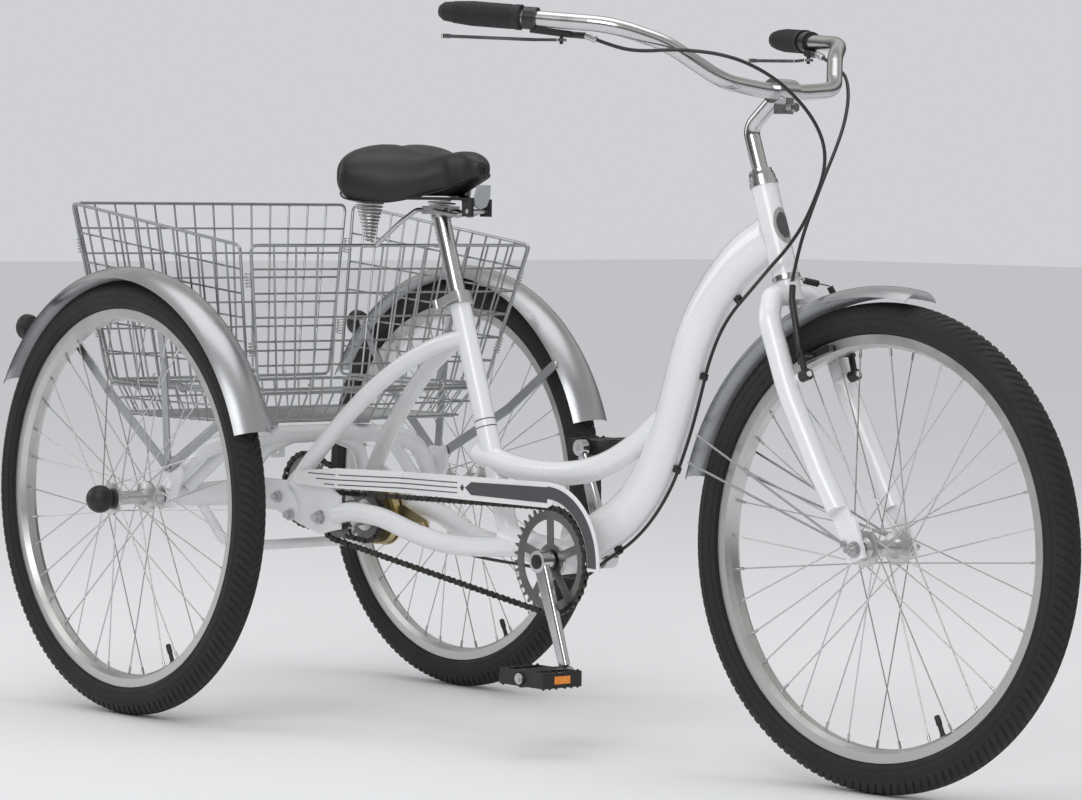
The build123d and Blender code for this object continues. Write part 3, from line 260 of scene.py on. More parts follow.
class Form:
    """Collects closed shapes, in millimetres, into one mesh."""

    def __init__(self):
        self.points = []
        self.faces = []

    def add(self, points, faces):
        """Adds one shape, whose faces count from its own first point."""
        base = len(self.points)
        self.points += [Vector(p) * MM for p in points]
        self.faces += [tuple(base + corner for corner in face) for face in faces]

    def rings(self, rings, closed=False):
        """Skins equal rings of points in turn; caps both ends unless the skin closes on itself."""
        count = len(rings[0])
        points = [p for ring in rings for p in ring]
        faces = []
        for row in range(len(rings) if closed else len(rings) - 1):
            here = row * count
            there = (row + 1) % len(rings) * count
            for spot in range(count):
                after = (spot + 1) % count
                faces.append((here + spot, here + after, there + after, there + spot))
        if not closed:
            faces.append(tuple(range(count))[::-1])
            faces.append(tuple(range(len(points) - count, len(points))))
        self.add(points, faces)

    def rod(self, points, radius, sides=8, closed=False):
        """A round bar along a line of points; radius is one number, or one for each point."""
        points = [Vector(p) for p in points]
        radii = radius if isinstance(radius, (list, tuple)) else [radius] * len(points)
        rings = []
        across = None
        for index, point in enumerate(points):
            before = points[index - 1] if index or closed else point
            after = points[(index + 1) % len(points)] if index + 1 < len(points) or closed else point
            way = (after - before).normalized()
            if across is None:
                across = way.orthogonal()
            across = (across - way * across.dot(way)).normalized()
            up = way.cross(across)
            rings.append([
                point + around(across, up, tau * k / sides) * radii[index]
                for k in range(sides)
            ])
        self.rings(rings, closed)

    def lathe(self, origin, axis, outline, steps=32):
        """Turns (radius, distance along the axis) points round the axis; both ends are capped."""
        axis, across, up = square_to(axis)
        self.rings([
            [
                Vector(origin) + axis * along + around(across, up, tau * k / steps) * radius
                for k in range(steps)
            ]
            for radius, along in outline
        ])

    def ring(self, origin, axis, outline, steps=48):
        """Turns a closed (radius, along) outline round the axis."""
        axis, across, up = square_to(axis)
        self.rings([
            [
                Vector(origin) + axis * along + around(across, up, tau * k / steps) * radius
                for radius, along in outline
            ]
            for k in range(steps)
        ], closed=True)

    def block(self, centre, x_dir, y_dir, size, bevel=0.0):
        """A box with chamfered long edges, along its own x, y and z."""
        x_dir = Vector(x_dir).normalized()
        z_dir = x_dir.cross(Vector(y_dir)).normalized()
        y_dir = z_dir.cross(x_dir)
        long, wide, high = (half / 2 for half in size)
        section = [
            (wide - bevel, high), (wide, high - bevel), (wide, bevel - high), (wide - bevel, -high),
            (bevel - wide, -high), (-wide, bevel - high), (-wide, high - bevel), (bevel - wide, high),
        ]
        self.rings([
            [Vector(centre) + x_dir * end + y_dir * y + z_dir * z for y, z in section]
            for end in (-long, long)
        ])

    def make(self, name, slot, body, material=None, smooth=True):
        """The finished piece, riding on its body if one is given; a piece that bends between two bodies is
        left on none.
        """
        data = bpy.data.meshes.new(name)
        data.from_pydata([tuple(p) for p in self.points], [], self.faces)
        work = bmesh.new()
        work.from_mesh(data)
        bmesh.ops.recalc_face_normals(work, faces=work.faces)
        work.to_mesh(data)
        work.free()
        data.materials.append(material or LOOKS[slot])
        piece = bpy.data.objects.new(name, data)
        bpy.context.scene.collection.objects.link(piece)
        if smooth:
            data.shade_smooth()
            data.set_sharp_from_angle(angle=radians(35))
        if body:
            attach(piece, body)
        return piece


def flowing(points, steps=8):
    """A smooth line through given points."""
    points = [Vector(p) for p in points]
    padded = [points[0] * 2 - points[1], *points, points[-1] * 2 - points[-2]]
    line = []
    for a, b, c, d in zip(padded, padded[1:], padded[2:], padded[3:]):
        for step in range(steps):
            t = step / steps
            line.append(
                0.5 * (
                    2 * b + (c - a) * t + (2 * a - 5 * b + 4 * c - d) * t**2
                    + (3 * b - a - 3 * c + d) * t**3
                )
            )
    return [*line, points[-1]]


# ---------------------------------------------------------------- tyres
TREAD_PITCH_COUNT = 150
TREAD_DEPTH = 1.6
TREAD_SLANT = 0.9
TUBE_RADIUS = 25.0
TREAD_ROWS = 30
WALL_ANGLE = 127.0
# one block of tread: how far round its pitch each ring stands, and whether it is sunk
TREAD_BLOCK = ((0.0, 0), (0.56, 0), (0.68, 1), (0.88, 1))
GROOVE_END = radians(72)
GROOVE_FADE = radians(12)
CENTRE_RIB = radians(6)
BEAD_HALF_WIDTH = 12.5
BEAD_DROP = 3
WALL_LINES = (84, 112)


def make_tyre(name, centre, turn, node, body):
    """A balloon tyre with slanted grooves across its crown and shoulders."""
    crown = TYRE_RADIUS - TUBE_RADIUS
    pitch = tau / TREAD_PITCH_COUNT
    form = Form()
    rings = []
    for block_number in range(TREAD_PITCH_COUNT):
        for share, sunk in TREAD_BLOCK:
            ring = []
            for row in range(TREAD_ROWS + 1):
                lean = radians(WALL_ANGLE) * (2 * row / TREAD_ROWS - 1)
                fade = max(0.0, min(1.0, (GROOVE_END - abs(lean)) / GROOVE_FADE))
                off_rib = 1.0 if abs(lean) > CENTRE_RIB else 0.0
                radius = TUBE_RADIUS - TREAD_DEPTH * sunk * fade * off_rib
                out = crown + radius * cos(lean)
                side = radius * sin(lean)
                angle = pitch * (block_number + share) + TREAD_SLANT * abs(side) / TYRE_RADIUS
                ring.append(turn @ (Vector((out * cos(angle), side, out * sin(angle)))) + centre)
            inner = crown + TUBE_RADIUS * cos(radians(WALL_ANGLE)) - BEAD_DROP
            for side in (BEAD_HALF_WIDTH, -BEAD_HALF_WIDTH):
                ring.append(turn @ Vector((inner * cos(angle), side, inner * sin(angle))) + centre)
            rings.append(ring)
    form.rings(rings, closed=True)
    # raised lines round both walls
    for side in (-1, 1):
        for lean in WALL_LINES:
            out = crown + TUBE_RADIUS * cos(radians(lean))
            away = side * TUBE_RADIUS * sin(radians(lean))
            form.rod(
                [
                    turn @ Vector((out * cos(tau * k / 96), away, out * sin(tau * k / 96))) + centre
                    for k in range(96)
                ],
                0.7, 6, closed=True,
            )
    tyre = form.make(name, "tyre_rubber", body)
    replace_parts(tyre, node)


UPRIGHT = Matrix.Identity(3)
make_tyre("tyre_front", steered(FRONT_AXLE), STEER, "front_tyre", "front_wheel")
WHEEL_BODY = {"left": "axle_and_left_wheel", "right": "right_wheel"}
for side, sign in SIDES:
    make_tyre(
        f"tyre_{side}", Vector((0, sign * HALF_TRACK, TYRE_RADIUS)), UPRIGHT, f"rear_tyre_{side}",
        WHEEL_BODY[side]
    )

# tyre valves
VALVE_ANGLE = radians(-64)
VALVE_FOOT = 269.5
for name, centre, turn, body in (
    ("front", steered(FRONT_AXLE), STEER, "front_wheel"),
    ("left", Vector((0, HALF_TRACK, TYRE_RADIUS)), UPRIGHT, WHEEL_BODY["left"]),
    ("right", Vector((0, -HALF_TRACK, TYRE_RADIUS)), UPRIGHT, WHEEL_BODY["right"]),
):
    outward = turn @ Vector((cos(VALVE_ANGLE), 0, sin(VALVE_ANGLE)))
    valve = Form()
    valve.lathe(
        centre + outward * VALVE_FOOT, -outward,
        [(4.4, 0), (4.4, 3), (3.4, 5), (3.2, 17), (4.1, 18), (4.1, 29), (3.0, 31)], 16
    )
    valve.make(f"valve_{name}", "black_plastic", body)


# ---------------------------------------------------------------- chains
CHAIN_PITCH = 12.7
ROLLER_RADIUS = 3.9
PIN_RADIUS = 1.7
PLATE_HALF_HEIGHT = 4.1
OUTER_PLATE = 3.3
INNER_PLATE = 2.2


def pitch_radius(teeth):
    """The radius at which the pins run on a sprocket."""
    return CHAIN_PITCH / (2 * sin(pi / teeth))


def chain_loop(rear, rear_radius, front, front_radius):
    """The pitch line round two wheels, as a function of the distance along it, and its length."""
    span = front - rear
    distance = span.length
    heading = math.atan2(span.z, span.x)
    spread = math.acos((rear_radius - front_radius) / distance)
    run = math.sqrt(distance**2 - (rear_radius - front_radius) ** 2)
    front_arc = 2 * spread * front_radius
    rear_arc = (tau - 2 * spread) * rear_radius
    total = 2 * run + front_arc + rear_arc

    def round_wheel(centre, radius, angle):
        return Vector((centre.x + radius * cos(angle), 0, centre.z + radius * sin(angle)))

    def at(travel):
        travel %= total
        if travel < front_arc:
            return round_wheel(front, front_radius, heading + spread - travel / front_radius)
        travel -= front_arc
        low_front = round_wheel(front, front_radius, heading - spread)
        low_rear = round_wheel(rear, rear_radius, heading - spread)
        if travel < run:
            return low_front.lerp(low_rear, travel / run)
        travel -= run
        if travel < rear_arc:
            return round_wheel(rear, rear_radius, heading - spread - travel / rear_radius)
        travel -= rear_arc
        high_rear = round_wheel(rear, rear_radius, heading + spread)
        high_front = round_wheel(front, front_radius, heading + spread)
        return high_rear.lerp(high_front, travel / run)

    return at, total


def link_outline(start, end, half_height):
    """A figure-of-eight side plate between two pins."""
    way = (end - start).normalized()
    up = Vector((-way.z, 0, way.x))
    outline = []
    for angle in range(90, 271, 45):
        outline.append(start + (way * cos(radians(angle)) + up * sin(radians(angle))) * half_height)
    outline.append((start + end) / 2 - up * half_height * 0.62)
    for angle in range(-90, 91, 45):
        outline.append(end + (way * cos(radians(angle)) + up * sin(radians(angle))) * half_height)
    outline.append((start + end) / 2 + up * half_height * 0.62)
    return outline


def make_chain(name, rear, rear_teeth, front, front_teeth, y, node):
    """Links and rollers round two sprockets, in the place of the plain loop."""
    at, total = chain_loop(rear, pitch_radius(rear_teeth), front, pitch_radius(front_teeth))
    count = 2 * round(total / CHAIN_PITCH / 2)
    pins = [at(total * number / count) for number in range(count)]
    form = Form()
    for number, pin in enumerate(pins):
        after = pins[(number + 1) % count]
        for side in (-1, 1):
            inside = y + side * (OUTER_PLATE if number % 2 else INNER_PLATE)
            outline = link_outline(pin, after, PLATE_HALF_HEIGHT)
            form.rings([[Vector((p.x, inside + side * out, p.z)) for p in outline] for out in (0, 1.0)])
        spot = Vector((pin.x, y, pin.z))
        form.lathe(spot, ALONG_Y, [(ROLLER_RADIUS, -2.1), (ROLLER_RADIUS, 2.1)], 10)
        form.lathe(spot, ALONG_Y, [(PIN_RADIUS, -4.9), (PIN_RADIUS, 4.9)], 8)
    chain = form.make(name, "chain_steel", "frame")
    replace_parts(chain, node)


make_chain(
    "chain_front", JACKSHAFT, rear_teeth=18, front=CRANK_CENTRE, front_teeth=38, y=-45.0,
    node="primary_chain"
)
make_chain(
    "chain_rear", REAR_AXLE, rear_teeth=28, front=JACKSHAFT, front_teeth=20, y=12.0,
    node="secondary_chain"
)

# ---------------------------------------------------------------- basket
WIRE = 1.6
BORDER_WIRE = 2.5


def rounded_loop(corners, radius, steps=5):
    """A closed line through corners, each rounded."""
    corners = [Vector(c) for c in corners]
    line = []
    for index, corner in enumerate(corners):
        before = (corners[index - 1] - corner).normalized() * radius
        after = (corners[(index + 1) % len(corners)] - corner).normalized() * radius
        for step in range(steps + 1):
            t = step / steps
            line.append(corner + before * (1 - t) ** 2 + after * t**2)
    return line


def wire_panel(form, corners, columns, rows, corner_radius=12.0):
    """Welded wires in a border; corners run low, low, high, high."""
    low_a, low_b, high_b, high_a = [Vector(c) for c in corners]
    outward = (low_b - low_a).cross(high_a - low_a).normalized()
    form.rod(rounded_loop(corners, corner_radius), BORDER_WIRE, 8, closed=True)
    for column in range(1, columns):
        share = column / columns
        low = low_a.lerp(low_b, share)
        high = high_a.lerp(high_b, share)
        form.rod([low + outward * WIRE, high + outward * WIRE], WIRE, 6)
    for row in range(1, rows):
        share = row / rows
        start = low_a.lerp(high_a, share)
        end = low_b.lerp(high_b, share)
        form.rod([start - outward * WIRE, end - outward * WIRE], WIRE, 6)


REAR_PANEL = [(-208, 214, 499), (-208, -214, 499), (-236, -268, 775), (-236, 268, 775)]
FRONT_PANEL = [(184, -222, 499), (184, 222, 499), (228, 270, 717), (228, -270, 717)]
RIGHT_PANEL = [(-196, -230, 499), (172, -232, 499), (217, -282, 717), (-228, -278, 775)]
LEFT_PANEL = [(x, -y, z) for x, y, z in RIGHT_PANEL]
panels = Form()
wire_panel(panels, REAR_PANEL, 14, 7)
wire_panel(panels, FRONT_PANEL, 13, 6)
for corners in (RIGHT_PANEL, LEFT_PANEL):
    wire_panel(panels, corners, 13, 6)
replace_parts(panels.make("basket_sides", "basket_wire", "frame"), "basket_panels")

FLOOR_Z = 449.0
RIM_Z = 493.0
FLOOR_X = (-186.0, 144.0)
RIM_X = (-204.0, 180.0)
FLOOR_Y = 206.0
RIM_Y = 224.0
MIDDLE_X = ((FLOOR_X[0] + RIM_X[0]) / 2, (FLOOR_X[1] + RIM_X[1]) / 2)
MIDDLE_Y = 215
MIDDLE_Z = (FLOOR_Z + RIM_Z) / 2
RIM_WIRE = 2.8
tray = Form()


def level_loop(ends, y, z, corner_radius, radius):
    """A level wire round the tray between two x ends and both sides."""
    corners = [(ends[0], -y, z), (ends[1], -y, z), (ends[1], y, z), (ends[0], y, z)]
    tray.rod(rounded_loop(corners, corner_radius), radius, 8, closed=True)


level_loop(RIM_X, RIM_Y, RIM_Z, 20, RIM_WIRE)
level_loop(FLOOR_X, FLOOR_Y, FLOOR_Z, 14, WIRE)
LENGTHWISE = 18
CROSSWISE = 15
for number in range(1, LENGTHWISE):
    share = 2 * number / LENGTHWISE - 1
    tray.rod(
        [
            (RIM_X[0], share * RIM_Y, RIM_Z), (FLOOR_X[0], share * FLOOR_Y, FLOOR_Z),
            (FLOOR_X[1], share * FLOOR_Y, FLOOR_Z), (RIM_X[1], share * RIM_Y, RIM_Z)
        ],
        WIRE, 6
    )
for number in range(1, CROSSWISE):
    share = number / CROSSWISE
    floor_x = FLOOR_X[0] + (FLOOR_X[1] - FLOOR_X[0]) * share
    rim_x = RIM_X[0] + (RIM_X[1] - RIM_X[0]) * share
    below = FLOOR_Z - 2 * WIRE
    tray.rod(
        [
            (rim_x, -RIM_Y, RIM_Z), (floor_x, -FLOOR_Y, below), (floor_x, FLOOR_Y, below),
            (rim_x, RIM_Y, RIM_Z)
        ],
        WIRE, 6
    )
level_loop(MIDDLE_X, MIDDLE_Y, MIDDLE_Z, 16, WIRE)
for y in (-90, 90):
    tray.block((30, y, 441), ALONG_X, ALONG_Y, (30, 24, 13), 2)
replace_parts(tray.make("basket_tray", "basket_wire", "frame"), "basket_base")

# coiled clips join the panels at their corners, and hooks join them to the tray
clips = Form()
COIL_TURNS = 5
COIL_STEPS = 40
COIL_LENGTH = 24
COIL_RADIUS = 4.6
for front, low, high in ((0, -205, -234), (1, 180, 224)):
    for sign in (-1, 1):
        for share in (0.28, 0.76):
            top_z = 717 if front else 775
            spot = Vector((low, sign * 226, 499)).lerp(Vector((high, sign * 275, top_z)), share)
            rise = Vector((high - low, sign * 49, top_z - 499)).normalized()
            _, across, up = square_to(rise)
            clips.rod([
                spot + rise * (COIL_LENGTH * step / COIL_STEPS - COIL_LENGTH / 2)
                + around(across, up, tau * COIL_TURNS * step / COIL_STEPS) * COIL_RADIUS
                for step in range(COIL_STEPS + 1)
            ], 1.0, 6)
for sign in (-1, 1):
    for x in (-120, 0, 110):
        hook = [(x, 233, 505), (x, 238, 499), (x, 232, 490), (x, 222, 488)]
        clips.rod(flowing([on_side(point, sign) for point in hook], 4), 1.5, 6)
for x in (-212, 188):
    for y in (-130, 0, 130):
        hook = [(x, y, 506), (x + math.copysign(5, x), y, 499), (x * 0.975, y, 489)]
        clips.rod(flowing(hook, 4), 1.5, 6)
clips.make("basket_clips", "zinc_steel", "frame")

# ---------------------------------------------------------------- saddle
SADDLE_REAR = 183.0
SADDLE_NOSE = 452.0
PAN_Z = 793.0
SHELL_ROWS = 48
SHELL_SPOTS = 64
SWELL = 4.0
CHANNEL_DEPTH = 8.0
CHANNEL_WIDTH = 17.0
CHANNEL_END = 0.78
CORNER = 0.76
CLOTH_FRAMES = 14


def saddle_half_width(share):
    """Half the saddle's width from the tail, 0, to the nose, 1."""
    body = 128.0 - 101.0 * max(0.0, min(1.0, (share - 0.24) / 0.5)) ** 1.15
    tail = math.sqrt(max(0.0, 1 - (1 - min(1.0, share / 0.3)) ** 2.2))
    nose = math.sqrt(max(0.0, 1 - max(0.0, (share - 0.86) / 0.14) ** 2.2))
    return max(2.0, body * tail * nose)


def saddle_top(share):
    """Height of the top along the middle: a high tail, a shallow dip and a lifted nose."""
    tail_fall = 26.0 * max(0.0, 1 - share / 0.22) ** 2
    dip = 9.0 * math.exp(-(((share - 0.58) / 0.18) ** 2))
    nose_fall = 16.0 * max(0.0, (share - 0.84) / 0.16) ** 2
    return 876 - 14 * share - dip - tail_fall - nose_fall


def saddle_rim(share):
    """Height of the hanging edge: it rises to the tail, and further to the nose."""
    tail_rise = 34.0 * max(0.0, 1 - share / 0.34) ** 1.6
    nose_rise = 54.0 * max(0.0, (share - 0.46) / 0.54) ** 1.25
    return 768 + tail_rise + nose_rise


def saddle_ring(share):
    """One cross-section: a crowned top with a channel, sides that hang as a skirt, and a hollow underside."""
    x = SADDLE_REAR + SWELL + (SADDLE_NOSE - SADDLE_REAR - 2 * SWELL) * share
    half_width = saddle_half_width(share) - SWELL
    rim = saddle_rim(share) + SWELL
    top = saddle_top(share) - SWELL
    waist = rim + 0.42 * (top - rim)
    ring = []
    for spot in range(SHELL_SPOTS):
        angle = tau * spot / SHELL_SPOTS
        side = math.copysign(abs(cos(angle)) ** CORNER, cos(angle))
        rise = math.copysign(abs(sin(angle)) ** CORNER, sin(angle))
        if rise > 0:
            groove = (
                CHANNEL_DEPTH * math.exp(-((side * half_width) / CHANNEL_WIDTH) ** 2)
                * max(0.0, sin(pi * min(1.0, share / CHANNEL_END)))
            )
            z = waist + rise * (top - waist) - groove
        else:
            hang = max(0.0, min(1.0, (abs(side) - 0.76) / 0.14))
            under = rim + (max(rim, PAN_Z) - rim) * (1 - hang * hang * (3 - 2 * hang))
            z = waist + min(1.0, -1.18 * rise) * (under - waist)
        ring.append((x, side * half_width, z))
    return ring


def make_saddle():
    """A padded cover: a closed shell, then blown up against its seams by cloth pressure."""
    shares = [0.5 - 0.5 * cos(pi * row / SHELL_ROWS) for row in range(SHELL_ROWS + 1)]
    form = Form()
    form.rings([saddle_ring(share) for share in shares])
    cover = form.make("saddle_pad", "saddle_vinyl", "saddle")
    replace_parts(cover, "saddle_cover")
    inflate(cover, SWELL)
    edge_spot = SHELL_SPOTS * 7 // 8 + 3
    sections = [saddle_ring(share) for share in shares[3:-4]]
    edge = [ring[edge_spot] for ring in sections] + [
        ring[SHELL_SPOTS * 3 // 2 - edge_spot] for ring in sections[::-1]
    ]
    seam = Form()
    seam.rod([(x, y * 1.02, z - 1.0) for x, y, z in edge], 1.5, 8, closed=True)
    seam.make("saddle_seam", "saddle_vinyl", "saddle")


def inflate(piece, most):
    """Swells a closed skin by cloth pressure, moving no point further than most millimetres."""
    before = [v.co.copy() for v in piece.data.vertices]
    cloth = piece.modifiers.new("swell", "CLOTH")
    cloth.settings.use_pressure = True
    cloth.settings.uniform_pressure_force = 4.0
    cloth.settings.tension_stiffness = 40
    cloth.settings.bending_stiffness = 4
    cloth.settings.effector_weights.gravity = 0
    cloth.point_cache.frame_start = 1
    cloth.point_cache.frame_end = CLOTH_FRAMES
    scene = bpy.context.scene
    for number in range(1, CLOTH_FRAMES + 1):
        scene.frame_set(number)
    settled = piece.evaluated_get(bpy.context.evaluated_depsgraph_get()).data
    after = [v.co.copy() for v in settled.vertices]
    piece.modifiers.remove(cloth)
    underside = (PAN_Z + 3) * MM
    for vertex, old, new in zip(piece.data.vertices, before, after):
        move = new - old
        if move.length > most * MM:
            move = move.normalized() * most * MM
        vertex.co = old + move
        if old.z < underside:
            vertex.co.z = old.z
    scene.frame_set(1)


make_saddle()

TONGUE_OUTLINE = ((-12, 810), (12, 810), (15, 792), (11, 778), (0, 774), (-11, 778), (-15, 792))
tongue = Form()
tongue.rings([
    [(x - 0.25 * (806 - z), y * spread, z) for y, z in TONGUE_OUTLINE]
    for x, spread in ((438, 0.9), (441, 1.0), (444, 0.9))
])
tongue.make("saddle_tongue", "black_plastic", "saddle", TRIM_LIGHT)

# coil springs under the tail
springs = Form()
SPRING_X = 258.0
SPRING_Y = 70.0
SPRING_LOW = 723.0
SPRING_HIGH = 785.0
SPRING_TURNS = 12
SPRING_NARROW = 5.0
SPRING_WIDE = 21.0
for side, sign in SIDES:
    steps = SPRING_TURNS * 20
    turn_of = [
        (SPRING_NARROW + (SPRING_WIDE - SPRING_NARROW) * step / steps, tau * step / 20)
        for step in range(steps + 1)
    ]
    springs.rod([
        (
            SPRING_X + reach * cos(angle), sign * SPRING_Y + reach * sin(angle),
            SPRING_LOW + (SPRING_HIGH - SPRING_LOW) * angle / turn_of[-1][1]
        )
        for reach, angle in turn_of
    ], 1.6, 8)
coils = springs.make("saddle_coils", "zinc_steel", None)
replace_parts(coils, "saddle_springs")
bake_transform(coils)

# ---------------------------------------------------------------- chain guard's decoration
GUARD_FACE = -53.0
GUARD_REAR_FACE = -85.0


def guard_y(x, lift):
    """The guard's outer face, a little proud."""
    share = max(0.0, min(1.0, (320 - x) / 120))
    return GUARD_FACE + (GUARD_REAR_FACE - GUARD_FACE) * share - lift


def guard_strip(form, upper, lower, lift=0.25, thickness=0.3):
    """A thin sheet on the guard between two lines of (x, z) points."""
    rings = []
    for (xa, za), (xb, zb) in zip(upper, lower):
        rings.append([
            (xa, guard_y(xa, 0.02), za), (xb, guard_y(xb, 0.02), zb),
            (xb, guard_y(xb, lift + thickness), zb), (xa, guard_y(xa, lift + thickness), za),
        ])
    form.rings(rings)


def straight(x_start, z_start, x_end, z_end, steps=24):
    """(x, z) points along a straight line on the guard."""
    return [
        (x_start + (x_end - x_start) * k / steps, z_start + (z_end - z_start) * k / steps)
        for k in range(steps + 1)
    ]


def guard_arc(radius, first, last, steps=30):
    """(x, z) points round the cranks' axle, between two angles."""
    return [
        (
            CRANK_CENTRE.x + radius * cos(radians(first + (last - first) * k / steps)),
            CRANK_CENTRE.z + radius * sin(radians(first + (last - first) * k / steps))
        )
        for k in range(steps + 1)
    ]


panel = Form()
guard_strip(panel, straight(484, 373, 656, 376), straight(484, 354, 656, 353))
guard_strip(panel, guard_arc(108, 90, -2), guard_arc(90, 90, -2))
guard_strip(panel, straight(470, 364, 484, 373, 4), straight(470, 364, 484, 354, 4))
panel.make("guard_panel", "guard_paint", "frame", TRIM_GREY, smooth=False)
stripes = Form()
for height, start in ((371, 130), (363.5, 150), (356, 170)):
    guard_strip(
        stripes, straight(start, height - 3 * (452 - start) / 320, 452, height),
        straight(start, height - 1.6 - 3 * (452 - start) / 320, 452, height - 1.6), 0.15, 0.15
    )
guard_strip(
    stripes, [(458, 363.5), (463, 369), (468, 363.5)], [(458, 363.4), (463, 358), (468, 363.4)], 0.15, 0.15
)
stripes.make("guard_stripes", "guard_paint", "frame", TRIM_GREY, smooth=False)

# ---------------------------------------------------------------- bands and small trim on the frame
trim = Form()
for along in (196, 207):
    trim.ring(
        SEAT_TOP, SEAT_DOWN, [(15.95, along), (16.15, along), (16.15, along + 1.6), (15.95, along + 1.6)]
    )
trim.make("seat_tube_bands", "silver_paint", "frame", TRIM_GREY)

BADGE_ALONG = 62.0
BADGE_HIGH = 26.0
BADGE_WIDE = 15.0


def head_oval(size, inner, outer):
    """A plain oval plate wrapped round the front of the head tube."""
    rings = []
    for row in range(13):
        rise = cos(pi * row / 12)
        half = max(0.06, sin(pi * row / 12)) * BADGE_WIDE * size / inner
        middle = HEAD_TOP + HEAD_DOWN * (BADGE_ALONG - BADGE_HIGH * size * rise)
        rings.append([
            middle + HEAD_FORWARD * (radius * cos(half * share)) + ALONG_Y * (radius * sin(half * share))
            for radius, shares in ((inner, (-1, -0.5, 0, 0.5, 1)), (outer, (0.94, 0.47, 0, -0.47, -0.94)))
            for share in shares
        ])
    plate = Form()
    plate.rings(rings)
    return plate


head_oval(1.0, 18.45, 19.5).make("head_badge", "alloy", "frame")
head_oval(0.72, 19.3, 19.9).make("head_badge_inlay", "alloy", "frame", TRIM_GREY)

# ---------------------------------------------------------------- brake cables
CABLE_RADIUS = 2.5
CABLE_GAP = 40.0
BARREL_REACH = 37.0
DOWN_TUBE = [
    (1062, 0, 744), (1000, 0, 712), (940, 0, 652), (903, 0, 590), (882, 0, 525), (858, 0, 462), (825, 0, 397),
    (772, 0, 342), (700, 0, 304), (652, 0, 288),
]
FRONT_ROUTE = [
    (957, 222, 998), (990, 204, 986), (1028, 182, 974), (1056, 157, 942), (1078, 124, 903), (1098, 85, 867),
    (1112, 50, 832), (1119, 22, 793), (1121, 0, 752), (1128, -20, 718),
]
REAR_ROUTE = [
    (972, -227, 1002), (1008, -207, 992), (1058, -172, 996), (1110, -128, 988), (1148, -90, 963),
    (1168, -56, 930), (1177, -30, 897), (1178, -14, 864), (1170, -8, 830), (1154, -12, 790), (1141, -20, 758),
    (1120, -28, 728), (1092, -30, 704), (1058, -17, 686),
]
REAR_END = [
    (682, 0, 244), (640, 2, 242), (590, 8, 246), (530, 17, 250), (470, 26, 250), (415, 32, 251),
    (365, 33, 255),
    (330, 33, 265), (304, 33, 273),
]


def barrel_mouth(sign):
    """Where a cable's housing leaves its lever's barrel, at the resting angle."""
    return steered(on_side(LEVER_PIVOT, sign) + on_side(BAR_INWARD, sign) * BARREL_REACH)


def below_down_tube():
    """Points beside the down tube's corners, on its front and under side."""
    points = []
    for before, corner, after in zip(DOWN_TUBE, DOWN_TUBE[1:], DOWN_TUBE[2:]):
        way_in = (Vector(corner) - Vector(before)).normalized()
        way_out = (Vector(after) - Vector(corner)).normalized()
        way = (way_in + way_out).normalized()
        points.append(Vector(corner) + Vector((-way.z, 0, way.x)) * CABLE_GAP)
    return points


def smooth_line(route):
    """Points along the smooth curve that has the route's points as its control points."""
    data = bpy.data.curves.new("route", "CURVE")
    data.dimensions = "3D"
    spline = data.splines.new("NURBS")
    spline.points.add(len(route) - 1)
    for knot, point in zip(spline.points, route):
        knot.co = (*point, 1.0)
    spline.order_u = 3
    spline.use_endpoint_u = True
    guide = bpy.data.objects.new("route", data)
    bpy.context.scene.collection.objects.link(guide)
    traced = bpy.data.meshes.new_from_object(guide)
    line = [vertex.co.copy() for vertex in traced.vertices]
    bpy.data.meshes.remove(traced)
    bpy.data.objects.remove(guide)
    bpy.data.curves.remove(data)
    return line


def make_cable(name, route, body):
    """A housing along its route, in the place of the plain one."""
    cable = Form()
    cable.rod(smooth_line(route), CABLE_RADIUS, 12)
    piece = cable.make(f"{name}_housing", "cable_housing", body)
    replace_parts(piece, name)
    return piece


# the front route is given with the steering straight, the rear one at rest
front_route = [steered(point) for point in FRONT_ROUTE]
make_cable("front_brake_cable", [barrel_mouth(1), *front_route, at_fork(*NOODLE_TOP)], "steering")
under_tube = below_down_tube()
under_tube[0] += Vector((3, -4, -9))
rear_route = [barrel_mouth(-1), *REAR_ROUTE, *under_tube, *REAR_END]
rear_cable = make_cable("rear_brake_cable", rear_route, None)
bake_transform(rear_cable)

# the adjusting screws that the two housings come out of
SLEEVE_OUTLINE = [
    (2.6, -2), (5.0, -1.5), (5.0, 6), (4.3, 6.6), (4.3, 8.4), (5.0, 9), (5.0, 14), (3.4, 16), (2.6, 16.5),
]
sleeves = Form()
for mouth, first in ((barrel_mouth(1), front_route[0]), (barrel_mouth(-1), Vector(REAR_ROUTE[0]))):
    sleeves.lathe(mouth, first - mouth, SLEEVE_OUTLINE, 24)
sleeves.make("barrel_screws", "zinc_steel", "steering")

# clips that hold the rear brake's cable along the down tube
CLIP_RUNS = (1, 3, 5, 7)
cable_clips = Form()
for run in CLIP_RUNS:
    start = Vector(DOWN_TUBE[run])
    end = Vector(DOWN_TUBE[run + 1])
    way = (end - start).normalized()
    middle = (start + end) / 2
    below = Vector((-way.z, 0, way.x))
    cable_clips.block(middle + below * (CABLE_GAP - 5), way, ALONG_Y, (9, 9, 7), 1.5)
    cable_clips.ring(middle + below * CABLE_GAP, way, [(2.6, -4), (4.2, -4), (4.2, 4), (2.6, 4)], 20)
cable_clips.make("cable_clips", "black_plastic", "frame")

